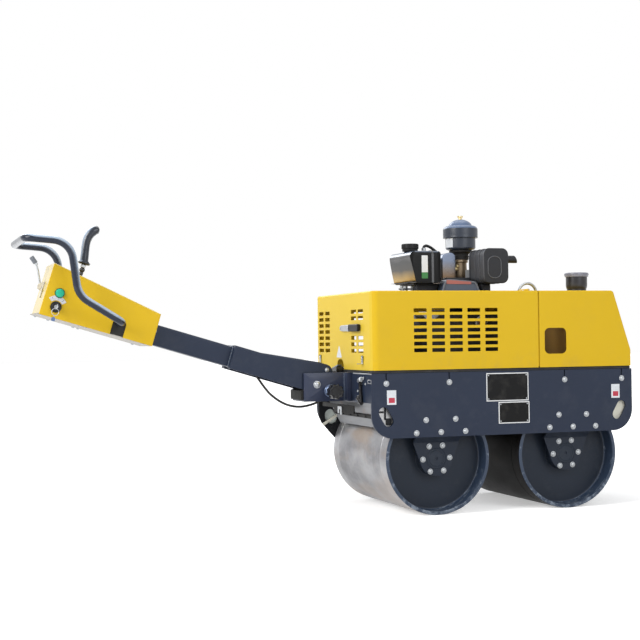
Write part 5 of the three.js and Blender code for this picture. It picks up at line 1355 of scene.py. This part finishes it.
arm_shape = [(-45, 896, 3), (-14, 896, 3), (-14, 930, 8), (-26, 941, 5), (-45, 941, 3)]
lug = finish(cut_out("intake_bracket", arm_shape, "XZ", -68, -63, 4), 0.8)
fitted(lug, casting("pale_casting", (0.46, 0.47, 0.48), amount=0.15), "cast_aluminium")

# ---------- Muffler ----------
# A pressed box in heat-proof matt black: a rolled near rim, ribs round the shell, a raised oval on
# the near face and a slashed outlet pipe. A flange pipe joins it to the head. The oval and the shell's
# faces towards the rear are a paler black as painted light.
def box_round(name, grow, start, end, radius=26):
    """A slice of the box, seen from the side, that stands out by grow millimetres."""
    return cut_out(name, oblong(-27 - grow, 77.6 + grow, 883 - grow, 1018 + grow, radius), "XZ", start, end, 9)


shell = [
    finish(box_round("muffler_shell", -1, -199, -65, 24), 3.0, 3),
    finish(box_round("muffler_rim", 1.6, -202.5, -193), 3.2, 4),
    finish(box_round("muffler_rib", 1.6, -161, -153), 2.6, 3),
    finish(box_round("muffler_rib_far", 1.6, -123, -115), 2.6, 3),
    finish(box_round("muffler_rim_far", 2.0, -72, -63.2), 2.6, 3),
]
oval = cut_out("muffler_oval", oblong(-12, 48, 901, 989, 27), "XZ", -205, -202, 9)
carve(oval, cut_out("oval_inside", oblong(-8.5, 44.5, 904.5, 985.5, 23.5), "XZ", -210, -190, 9))
muffler_painted_light = paint("heat_black_painted_light", (0.078, 0.082, 0.094), 0.40, 0.5, 0.10, 0.1, 0.0)
fitted(finish(oval, 1.2, 3), muffler_painted_light, "black_paint")
outlet = rod_between("outlet", (84, -131.5, 980), (149, -131.5, 980), 15, 40)
only(outlet)
bpy.ops.object.mode_set(mode="EDIT")
bpy.ops.mesh.select_all(action="SELECT")
bpy.ops.mesh.bisect(plane_co=at(143, -131.5, 980), plane_no=(0.93, 0.0, 0.36), clear_outer=True, use_fill=True)
bpy.ops.object.mode_set(mode="OBJECT")
choose(outlet, "FACE", lambda face: face.normal.x > 0.5)
bpy.ops.mesh.inset(thickness=0.0022)
bpy.ops.mesh.extrude_region_move(TRANSFORM_OT_translate={"value": (-0.035, 0.0, 0.0)})
bpy.ops.object.mode_set(mode="OBJECT")
shell.append(finish(outlet, 0.4, 1))
shell.append(block("muffler_feed", (3, -67, 880.5), (25, -39, 927), 5.0, 4))
shell.append(block("muffler_mount", (-6, -132, 846), (36, -100, 884), 9.0, 5))
muffler = joined("muffler_box", shell)
# The shell's faces towards the rear take the paler black: painted light where the key light falls.
zoned(muffler, lambda face: face.normal.x < -0.5 and face.center.z > 0.881)
fitted(muffler, (matt_black, muffler_painted_light), "black_paint", "muffler")

# ---------- Clevis, pivot bolt and stop ----------
# Two welded ears on a base flange carry the handle's pivot bolt, a shouldered bolt with a wide zinc
# washer on each side. A rubber block on a strip between the ears takes the lowered arm.
ear = [(-732, 431, 2), (-566, 431), (-566, 541), (-732, 541, 2)]
ears = [finish(cut_out("ear", ear, "XZ", y, y + 8), 1.0) for y in (-76, 68)]
pivot_x, pivot_z = -680, 496
ear_holes = rod_between("ear_holes", (pivot_x, -90, pivot_z), (pivot_x, 90, pivot_z), 12.3, 40)
flange = block("clevis_flange", (-568, -107, 431), (-550.3, 107, 541), 1.6)
tie = block("clevis_tie", (-732, -75, 431), (-720, 75, 437), 1.0)
clevis = carve(joined("clevis_welded", [*ears, flange, tie]), ear_holes)


def weld_bead(points, radius, swell):
    """A weld along the points, thicker and thinner in turn by a share."""
    return routed("bead", points, radius, 3, [1 - swell + 2 * swell * (i % 2) for i in range(len(points))])


beads = []
for side in (-1, 1):
    for y in (76.5, 67.5):
        beads.append(weld_bead([at(-568.5 + 0.3 * (i % 2), side * y, 433 + 5.3 * i) for i in range(21)], 0.0032, 0.14))
# The clevis is a lighter blue than the frame's paint: painted light on the ears and flange.
clevis_painted_light = paint("clevis_painted_light", (0.033, 0.043, 0.082), 0.36, 0.30)
# The welds get a paler, glossier blue: painted highlights along the beads.
weld_painted_highlight = paint("weld_painted_highlight", (0.060, 0.085, 0.135), 0.30, 0.6)
fitted(joined("clevis_beads", beads), weld_painted_highlight, "frame_blue")
fitted(clevis, clevis_painted_light, "frame_blue", "clevis")
slope = math.radians(16.6)
rest = [(-742.8, 437.4), (-720.2, 437.4), (-720.2, 480.6), (-742.8, 473.9)]
stop = finish(cut_out("stop_rubber", rest, "XZ", -67.5, 67.5), 1.5)
fitted(stop, rubber("stop_rubber", 0.003), "black_rubber", "handle_stop")
bolt_end = domed_bolt("bolt_end", 11.6)
parts = [rod_between("pivot_shank", (pivot_x, -77, pivot_z), (pivot_x, 77, pivot_z), 11.8)]
parts += [copied(bolt_end, f"pivot_end_{y}", facing(at(pivot_x, y, pivot_z), (0, y, 0), 0.5)) for y in (-76.3, 76.3)]
fitted(joined("pivot_bolt_turned", parts), zinc, "zinc", "pivot_bolt")
discard(bolt_end)

# ---------- Lock knob ----------
# A spring plunger through the near ear: a plated collar and a fluted black knob.
collar_profile = [
    (0, 0), (24, 0), (24, 9), (22.6, 10.6), (22.6, 13), (23.6, 14.4), (23.6, 24), (20, 27.5), (13, 28.4), (13, 34),
    (0, 34),
]  # fmt: skip
collar = finish(turned("knob_collar", collar_profile, at(-628, -76.35, 471), to_right, 48), angle=35)
blue_zinc = zinc_plate("blue_zinc", (0.16, 0.21, 0.33), 0.24)
fitted(collar, blue_zinc, "black_paint")


def lobed(radius, wave, lobes, steps, centre_a=0.0, centre_b=0.0):
    """The outline of a fluted or ribbed knob, as a circle whose radius waves in and out."""
    turns = [2 * math.pi * i / steps for i in range(steps)]
    reach = [radius + wave * math.cos(lobes * a) for a in turns]
    return [(centre_a + r * math.cos(a), centre_b + r * math.sin(a)) for r, a in zip(reach, turns)]


knob = cut_out("lock_knob_fluted", lobed(27.0, 1.9, 9, 72, -625, 469), "XZ", -154.5, -107.5)
soften(knob, lambda edge: edge.calc_face_angle(0) > 1.2, 3.5, 4)
sunk(knob, lambda face: face.normal.y < -0.99 and face.calc_area() > 0.0006, 0.003, (0.0, 0.0016, 0.0))
glossy_plastic = satin("glossy_plastic", (0.010, 0.010, 0.012), 0.24, 0.0, 0.35)
fitted(finish(knob, 0.4, 2), glossy_plastic, "black_plastic", "lock_knob")

# ---------- Cable gland ----------
# A black gland in the flange: a hexagon, a thread and a ribbed dome nut round the cable.
gland_profile = [
    (0, 0), (9, 0), (9, 4), (7.4, 4.4), (7.4, 6.4), (9, 7), (9, 14), (8.4, 16), (6.4, 19), (5, 19.8), (0, 19.8)
]
gland = finish(turned("cable_gland_moulded", gland_profile, at(-568.35, 0, 450), to_rear, 18), angle=40)
fitted(gland, moulded_black, "black_rubber", "cable_gland")

# ---------- Draw latch on the rear cross plate -----------------------
# Right of the clevis a zinc wing screw holds a black hanging link with a ball end; two small bolts
# sit beside it. A bare edge strip runs along the plate's top.
face_x = -550.2
wing = [
    (-192, 507, 2), (-206, 503, 4), (-232, 512, 5), (-262, 517, 4), (-266, 527, 3), (-240, 526, 6), (-216, 519, 6),
    (-196, 518, 3),
]  # fmt: skip
boss = [(0, 0), (11, 0), (11, 5), (8, 9), (5, 12), (0, 12.5)]
zinc_parts = [
    finish(cut_out("wing", wing, "YZ", face_x - 9, face_x - 5, 4), 1.4, 3),
    finish(turned("boss", boss, at(face_x, -222, 515), to_rear, 28), angle=40),
    finish(rod_between("eyebolt", (face_x, -226, 500), (face_x - 11, -226, 500), 4, 18), 0.6),
]
fitted(joined("wing_screw", zinc_parts), zinc, "zinc")
rod_route = ((7, -224, 502), (8, -226, 478), (7, -229, 454), (7, -232, 432))
tail_route = ((8, -216, 446), (8, -226, 432), (7, -236, 427))
ball = primitive("uv_sphere", "ball", segments=24, ring_count=14, radius=0.0115, location=at(face_x - 9, -214, 447))
link = [
    routed("link", [at(face_x - out, y, z) for out, y, z in rod_route], 0.006),
    finish(ball, angle=60),
    routed("tail", [at(face_x - out, y, z) for out, y, z in tail_route], 0.0085),
    finish(rod_between("eye", (face_x - 3, -225, 500), (face_x - 12, -225, 500), 9, 24), 1.0),
]
fitted(joined("hanging_link", link), glossy_plastic, "black_plastic")
bolt_places = [(face_x, y, z) for y, z in ((-179, 472), (-198, 450), (-262, 500), (190, 470))]
bolted("cross_plate_bolts", small_bolt, bolt_places, to_rear)
bare_edge = [block("edge", (face_x - 1.4, y, 536), (face_x, y + 196, 540), 0.4, 1) for y in (-325, 129)]
fitted(joined("bare_edge", bare_edge), plate_rim, "bare_steel")

# ---------- Hose sleeve and drain flap ----------
# A black moulded sleeve fills the arch under the hood's rear wall, with a pale bluish strip along its top as a painted
# highlight.
# A black rubber flap hangs below the clevis, in front of the scraper, on a bright two-hole bracket.
sleeve_shape = [(66, 541.2, 3), (66, 550, 9), (-12, 565, 9), (-12, 541.2, 3)]
sleeve = finish(cut_out("hose_sleeve", sleeve_shape, "YZ", -578, -549), 4.0, 4)
fitted(sleeve, glossy_plastic, "black_rubber")
# This pale strip is a painted highlight along the sleeve's top.
clamp = finish(cut_out("sleeve_highlight_strip", [(62, 552.5), (-8, 566), (-8, 570), (62, 556.5)], "YZ", -572, -553), 0.8)
fitted(clamp, blue_zinc, "zinc")
flap_shape = [(-116, 379, 3), (118, 379, 3), (118, 396, 3), (262, 396, 3), (262, 413, 3), (-116, 413, 3)]
flap = finish(cut_out("drain_flap", flap_shape, "YZ", -545.5, -541), 0.8)
fitted(flap, rubber("flap_rubber", 0.0035), "black_rubber")
tab_shape = [
    (18, 372, 3), (34, 372, 3), (34, 392, 2), (48, 392, 2), (48, 376, 3), (64, 376, 3), (64, 404, 4), (18, 404, 4)
]
tab = finish(cut_out("flap_bracket", tab_shape, "YZ", -549, -546, 4), 0.6)
fitted(tab, zinc, "zinc")
frame_mark = block("edge_mark", (face_x - 0.5, -324, 502), (face_x, -286, 517), 0.1, 1)
carve(frame_mark, block("mark_inside", (face_x - 2, -320, 505), (face_x + 2, -290, 514)))
fitted(frame_mark, plate_rim, "bare_steel")

# ---------- Handle arm ----------
# A 6 mm folded channel, open below and at the nose, humped over the pivot and welded shut at its
# rear end round the beam. It is drawn level, with the pivot as its origin, and turned to its slope.
level = Matrix.Translation((-middle, 0.0, 0.0))
tilted = Matrix.Translation(at(pivot_x, 0, pivot_z)) @ Matrix.Rotation(slope, 4, "Y") @ level


def on_handle(piece, look, slot, *nodes):
    """Turns a piece drawn level about the pivot to where the handle rests, and fits it there."""
    return fitted(settle(piece, tilted), look, slot, *nodes, body="handle")


arm_side = [(-348, -32), (55, -32, 24), (55, 87, 30), (-10, 87, 60), (-243, 58.7, 60), (-348, 58.7)]
arm_hollow = [(-342, -40), (60, -40), (60, 95), (30, 95), (30, 81), (-10, 81, 60), (-243, 52.7, 60), (-342, 52.7)]
arm = cut_out("arm_folded", arm_side, "XZ", -62, 62, 10)


def folded_edge(edge):
    """The bends along the top of the channel, from its rear end to the nose."""
    a, b = (v.co for v in edge.verts)
    along_top = min(a.z, b.z) > 0.0586 or (min(a.z, b.z) > 0.055 and max(a.x, b.x) > at(-100, 0, 0).x)
    return abs(abs(a.y) - 0.062) < 1e-4 and abs(a.y - b.y) < 1e-4 and along_top


soften(arm, folded_edge, 7, 4)
carve(
    arm,
    cut_out("arm_inside", arm_hollow, "XZ", -56, 56, 10),
    block("beam_hole", (-360, -30.2, -40), (-330, 30.2, 52.6)),
    rod_between("arm_bore", (0, -80, 0), (0, 80, 0), 12.5, 40),
)
finish(arm, 0.8, 2, 34)
on_handle(arm, frame_paint, "frame_blue", "handle_arm")
arm_bolt = 6.6
for side, y in (("right", -62.2), ("left", 62.2)):
    settle(bolted(f"arm_bolt_{side}", arm_bolt, [(28, y, 66)], (0, y, 0), body="handle"), tilted)
runs = [[at(-348.6, side * 31.2, -24 + 5.4 * i) for i in range(15)] for side in (-1, 1)]
runs.append([at(-348.6, -30 + 5.4 * i, 54.2) for i in range(12)])
beads = [weld_bead(run, 0.0026, 0.15) for run in runs]
# The arm's welds take the same painted highlight.
on_handle(joined("arm_weld", beads), weld_painted_highlight, "frame_blue")

# ---------- Handle beam and plug ----------
# A rectangular tube, 60 by 78 with 5 mm walls and rolled corners. Its lower end inside the arm is
# shut by a rubber plug with a collar where the cable leaves.
tube = cut_out("beam_tube", oblong(-30, 30, -25.4, 52.4, 7), "YZ", -998, -278)
bore = cut_out("beam_bore", oblong(-25, 25, -20.4, 47.4, 3), "YZ", -1010, -270, 4)
on_handle(finish(carve(tube, bore), 0.5, 1, 40), frame_paint, "frame_blue", "handle_beam")
stopper = finish(cut_out("plug_rubber", oblong(-24.6, 24.6, -20, 47, 4), "YZ", -292, -278), 1.0)
collar_profile = [(0, -2), (9, -2), (9, 1.5), (7, 4), (5, 4.4), (0, 4.4)]
collar = finish(turned("plug_collar", collar_profile, at(-278, 0, 0), (1, 0, 0), 32), angle=40)
on_handle(joined("beam_plug_rubber", [stopper, collar]), strip_rubber, "black_rubber", "beam_plug")

# ---------- Console ----------
# A box of 3 mm yellow sheet, open below, higher at the back. The beam enters its front wall, the
# loop's feet come out through a slot in each side and the travel lever stands in a slot on top.
def box_side(inset, low):
    """The side view of the box, drawn some millimetres inside its outer face."""
    corner = 2.5 if inset == 0 else 0
    rear = [(-1089 + inset, 157 - inset, corner), (-1092 + inset, low)]
    return [(-665 - inset, low), (-665 - inset, 88 - inset, corner), *rear]


console = cut_out("console_sheet", box_side(0, -35), "XZ", -115, 115, 4)


def side_edge(edge):
    """The bends between a side wall and the top, front or rear wall."""
    a, b = (v.co for v in edge.verts)
    return abs(abs(a.y) - 0.115) < 1e-4 and abs(a.y - b.y) < 1e-4 and not max(a.z, b.z) < -0.034


soften(console, side_edge, 3, 3)
foot_slot = [(-828, -45), (-778, -45), (-778, 31.5, 24), (-828, 31.5, 24)]
carve(
    console,
    cut_out("console_inside", box_side(3, -45), "XZ", -112, 112, 4),
    block("beam_way", (-680, -30.2, -45), (-655, 30.2, 52.6)),
    cut_out("foot_slots", foot_slot, "XZ", -130, 130, 10),
    cut_out("lever_slot", oblong(-1008, -938, -11, 11, 9), "XY", 90, 180),
)
finish(console, 0.6, 2, 34)
console_painted_light = powder_coat("console_yellow_painted_light", (0.73, 0.57, 0.17), 1.0, 0.16)


def console_zone(face):
    """The rear wall and the bends beside the top, which get a paler, glossier yellow as painted light and a painted
    highlight.
    """
    rear_wall = face.normal.x < -0.9 and face.center.x < at(-1080, 0, 0).x
    return rear_wall or (face.normal.z > 0.25 and abs(face.normal.y) > 0.2)


zoned(console, console_zone)
on_handle(console, (yellow, console_painted_light), "hood_yellow", "console")
boot = [(-833, -32.2), (-773, -32.2), (-773, 36.5, 28), (-833, 36.5, 28)]
boots = [finish(cut_out("boot", boot, "XZ", y * 111.8, y * 105, 8), 1.0) for y in (-1, 1)]
on_handle(joined("foot_boots", boots), rubber("boot_rubber", 0.008), "black_rubber")

# ---------- Console base plate ----------
# A zinc plate closes the box from below, held by screws along its edges, and ends in a small lip.
base = block("console_base_plate", (-1098, -111.7, -35.6), (-668.3, 111.7, -32.6), 0.8)
on_handle(base, zinc_plate("dull_zinc", (0.36, 0.34, 0.31), 0.45), "zinc", "console_base")
base_screw = 5.2
rows = [(x, y, -35.6) for x in (-1080, -1031, -934, -915, -700) for y in (-104, 104)]
settle(bolted("base_screws", base_screw, rows, (0, 0, -1), body="handle"), tilted)
settle(bolted("front_screws", base_screw, [(-665, -96, 22), (-665, 96, 22)], (1, 0, 0), body="handle"), tilted)

# ---------- Loop handlebar ----------
# One 28 mm tube bent from foot to foot, in glossy blue paint with a painted highlight along its upper
# side and a paler grey in ragged patches on the crossbar. Its feet are welded to the beam inside the console.
loop_corners = [
    (-806, 30.3, 13.5, 0), (-806, 200, 13.5, 34), (-986, 200, 62, 85), (-1065, 200, 238, 75), (-1220, 200, 205, 34)
]


def bent(corners, steps=10):
    """Points along straight runs and the arcs at their corners (x, y, z, bend radius)."""
    places = [Vector(corner[:3]) for corner in corners]
    points = [places[0]]
    for (*_, radius), before, corner, after in zip(corners[1:], places, places[1:], places[2:]):
        back, on = (before - corner).normalized(), (after - corner).normalized()
        reach = radius / math.tan(back.angle(on) / 2)
        middle_of = corner + (back + on).normalized() * radius / math.sin(back.angle(on) / 2)
        first, last = corner + back * reach - middle_of, corner + on * reach - middle_of
        points += [middle_of + first.slerp(last, i / steps).normalized() * radius for i in range(steps + 1)]
    return [at(*point) for point in (*points, places[-1])]


def highlight_band(wire, side, cloud, start=0.34):
    """A painted highlight strip along a round piece, on the side that faces one way."""
    facing_way = wire.node("ShaderNodeTexCoord", output="Normal")
    lit = wire.node("ShaderNodeVectorMath", {"operation": "DOT_PRODUCT"}, {0: facing_way, 1: side}, output="Value")
    return ramp(lit + cloud * 0.12 - 0.06, (start, 0.0), (start + 0.26, 0.92))


whole_loop = loop_corners + [(x, -y, z, bend) for x, y, z, bend in reversed(loop_corners)]
loop = routed("loop_handlebar", bent(whole_loop), 0.014, 7)
tube_paint, wire = shader_of("tube_paint", specular=0.3, coat_roughness=0.06, tint=(0.8, 0.9, 1.0, 1.0))
on_crossbar = between(along(wire, "X"), middle - 1.80, middle - 1.83)
crossbar_grey = ramp(noise(wire, 30.0, 5.0), (0.25, 0.35), (0.6, 1.0)) * on_crossbar
specks = ramp(noise(wire, 70.0, 4.0), (0.66, 0.0), (0.74, 1.0)) * 0.4
# A pale blue painted highlight along the tube's upper side.
sky_highlight = highlight_band(wire, (0.50, -0.26, 0.82), noise(wire, 22.0, 4.0), 0.42)
feed(
    wire,
    colour=mixed(
        sky_highlight, mixed(crossbar_grey * 0.85 + specks * 0.2, (0.012, 0.018, 0.036), (0.24, 0.24, 0.235)), (0.44, 0.53, 0.65)
    ),
    roughness=0.16 + noise(wire, 24.0) * 0.08 + crossbar_grey * 0.12,
    coat=0.12 - crossbar_grey * 0.1,
    normal=bump(noise(wire, 300.0, 3.0), 0.04, 0.0005),
)
on_handle(loop, tube_paint, "tube_blue", "handle_loop")

# ---------- Travel lever ----------
# A boss on the beam, a rod with a ball joint under a guard disc, and a curved moulded grip that
# swells at its top.
lever_x = -973
lever_axis = at(lever_x, 0, 0)
boss = [(0, 52.7), (14, 52.7), (14, 57), (12, 60.7), (8, 60.7), (7, 66), (0, 66)]
lever = [
    turned("lever_boss", boss, lever_axis, up, 32),
    rod_between("lever_pin", (lever_x, -12, 66.7), (lever_x, 12, 66.7), 8.5, 24),
    turned("lever_nut", [(0, 180), (8.5, 180), (9.5, 181), (9.5, 189), (8, 191), (0, 191)], lever_axis, up, 6),
]
on_handle(finish(joined("lever_metal", lever), 0.5, 2, 40), zinc, "zinc")
ball_rod = [
    (0, 66), (6, 66), (6, 150), (7.5, 154), (7.5, 160), (6, 162), (9, 165.5), (10.4, 171), (9, 176.5), (6, 180),
    (0, 181),
]  # fmt: skip
ball = finish(turned("lever_ball", ball_rod, lever_axis, up, 32), angle=60)
on_handle(ball, satin("ball_black", (0.03, 0.032, 0.036), 0.25, 0.3, 0.5), "black_plastic")
disc_profile = [
    (0, 191), (15, 191), (20, 192.5), (23, 195.5), (23.6, 198.5), (22.8, 200.6), (18, 201.6), (16.4, 206), (0, 206)
]
disc = finish(turned("lever_disc", disc_profile, lever_axis, up, 48), angle=35)
grip_route = (
    (-974, 197), (-977, 216), (-981, 238), (-985, 262), (-986, 284), (-982, 304), (-973, 320), (-962, 330),
    (-957, 333.5), (-954, 335.2),
)  # fmt: skip
grip_swell = [0.98, 0.96, 0.94, 0.94, 0.98, 1.04, 1.08, 0.98, 0.76, 0.36]
grip = routed("lever_grip", [at(x, 0, z) for x, z in grip_route], 0.016, 7, grip_swell)
grip_plastic, wire = shader_of("grip_plastic", specular=0.4, coat_roughness=0.06)
smudges = noise(wire, 26.0, 5.0)
# Pale blue painted highlights along the grip's upper rear edge and, fainter, its lower front edge.
sky_highlight = highlight_band(wire, (-0.85, 0.0, 0.53), smudges, 0.56) + highlight_band(wire, (0.80, 0.0, -0.60), smudges, 0.60) * 0.5
feed(
    wire,
    colour=mixed(sky_highlight, mixed(smudges * 0.5, (0.010, 0.015, 0.026), (0.020, 0.028, 0.044)), (0.34, 0.42, 0.54)),
    roughness=0.17 + smudges * 0.12,
    coat=0.15 + smudges * 0.15,
    normal=bump(noise(wire, 260.0, 3.0), 0.05, 0.0005),
)
on_handle(finish(joined("travel_lever_moulded", [grip, disc]), angle=40), grip_plastic, "black_rubber", "travel_lever")

# ---------- Throttle lever ----------
# A bent zinc rod on a folded, pale bracket behind the console, with an ear, a pivot screw and a
# ribbed grey knob.
ear = [(-1094, 52, 3), (-1112, 58, 8), (-1112, 76, 8), (-1094, 92, 3)]
bracket = [
    block("throttle_foot", (-1095.2, -2, 29.6), (-1092.4, 22, 92), 0.8),
    finish(cut_out("throttle_ear", ear, "XZ", 3, 6, 5), 0.6),
    finish(rod_between("throttle_pivot", (-1102, 2, 66), (-1102, 16, 66), 6, 6), 0.6),
]
on_handle(joined("throttle_bracket", bracket), satin("bracket_pale", (0.72, 0.69, 0.62)), "zinc")
rod_route = ((-1090.3, 54.6), (-1101, 70), (-1113, 96), (-1125, 122), (-1137, 143))
rod = routed("throttle_rod", [at(x, 10, z) for x, z in rod_route], 0.0036)
collar = rod_between("throttle_collar", (-1135, 10, 141), (-1143, 10, 149), 6.2, 24)
on_handle(joined("throttle_metal", [rod, finish(collar, 0.8)]), zinc, "zinc", "throttle_lever")
throttle_knob = cut_out("throttle_knob", lobed(8.6, 0.7, 12, 48), "XY", 0, 28)
soften(throttle_knob, lambda edge: edge.calc_face_angle(0) > 1.2, 1.8, 3)
aimed = facing(at(-1141, 10, 147), (-22, 0, 18)) @ level
knob_grey = satin("knob_grey", (0.17, 0.19, 0.23), 0.35, 0.0, 0.5)
on_handle(finish(settle(throttle_knob, aimed), 0), knob_grey, "black_plastic")

# ---------- Start button and key switch ----------
# A domed green button in a dark green ring, and below it a black key switch with a steel key in it.
# Over the switch lies a pale curved scale with three plain ticks; a ring and a tag hang on the key.
panel, switch_x, switch_z = -115.3, -1041, 5
button_at, switch_at = at(switch_x, panel, 57), at(switch_x, panel, switch_z)
ring_profile = [(0, 0), (17.6, 0), (18, 0.6), (18, 2.2), (17.2, 3.2), (15.8, 3.2), (15.4, 2), (0, 2)]
ring = turned("button_ring", ring_profile, button_at, to_right, 48)
on_handle(finish(ring, angle=35), satin("ring_green", (0.008, 0.10, 0.055), 0.3), "black_plastic")
cap_profile = [(0, 1), (15.2, 1), (15.2, 6), (14.6, 7.6), (12, 9), (8, 9.8), (0, 10.1)]
cap = turned("start_button_cap", cap_profile, button_at, to_right, 48)
button_green = satin("button_green", (0.012, 0.50, 0.30), 0.30, 0.0, 0.4)
on_handle(finish(cap, angle=50), button_green, "green_plastic", "start_button")
outer, inner = (arc(switch_x, switch_z, r, math.radians(38), math.radians(104), 13) for r in (41, 24))
plate = finish(cut_out("switch_scale", outer + inner[::-1], "XZ", panel - 0.35, panel), 0.1, 1)
on_handle(plate, satin("scale_white", (0.66, 0.67, 0.72), 0.35), "black_plastic")
pivot = Matrix.Translation(at(switch_x, 0, switch_z))
ticks = []
for degrees in (-34, 0, 34):
    tick = block("tick", (switch_x - 0.5, panel - 0.5, 34), (switch_x + 0.5, panel - 0.3, 43))
    ticks.append(settle(tick, pivot @ Matrix.Rotation(math.radians(degrees), 4, "Y") @ pivot.inverted()))
on_handle(joined("switch_ticks", ticks), moulded_black, "black_plastic")
switch_profile = [
    (0, 0), (19.6, 0), (20.4, 1), (20.4, 5), (19, 7.5), (16.5, 8.4), (15.6, 12), (13, 13.6), (8, 14), (7.4, 13),
    (0, 13),
]  # fmt: skip
switch = finish(turned("key_switch_moulded", switch_profile, switch_at, to_right, 48), angle=35)
on_handle(switch, glossy_plastic, "black_plastic", "key_switch")
key = [
    finish(rod_between("key_barrel", (switch_x, panel - 12.1, 5), (switch_x, panel - 15.1, 5), 7.2, 28), 0.5),
    block("key_blade", (switch_x - 1, panel - 20, 1.5), (switch_x + 1, panel - 12, 8.5), 0.4),
    block("key_bow", (switch_x - 1, panel - 35, -5), (switch_x + 1, panel - 18, 14), 0.9, 3),
]
for z, turn, sides, radius, wire_radius in (
    (-14, (math.pi / 2, 0.25, 0), (40, 10), 0.0125, 0.0011), (-29, (0.2, math.pi / 2, 0), (24, 8), 0.0035, 0.0008),
):  # fmt: skip
    key.append(
        primitive(
            "torus", "key_ring", location=at(switch_x, panel - 27, z), rotation=turn, major_segments=sides[0],
            minor_segments=sides[1], major_radius=radius, minor_radius=wire_radius,
        )
    )  # fmt: skip
on_handle(joined("key_and_ring", key), zinc, "zinc")
tag_shape = [(-1048, -48, 3), (-1034, -48, 3), (-1034, -33, 6), (-1048, -33, 6)]
tag = finish(cut_out("key_tag", tag_shape, "XZ", panel - 28, panel - 26, 5), 0.5)
on_handle(tag, satin("tag_blue", (0.10, 0.17, 0.34), 0.4), "black_plastic")
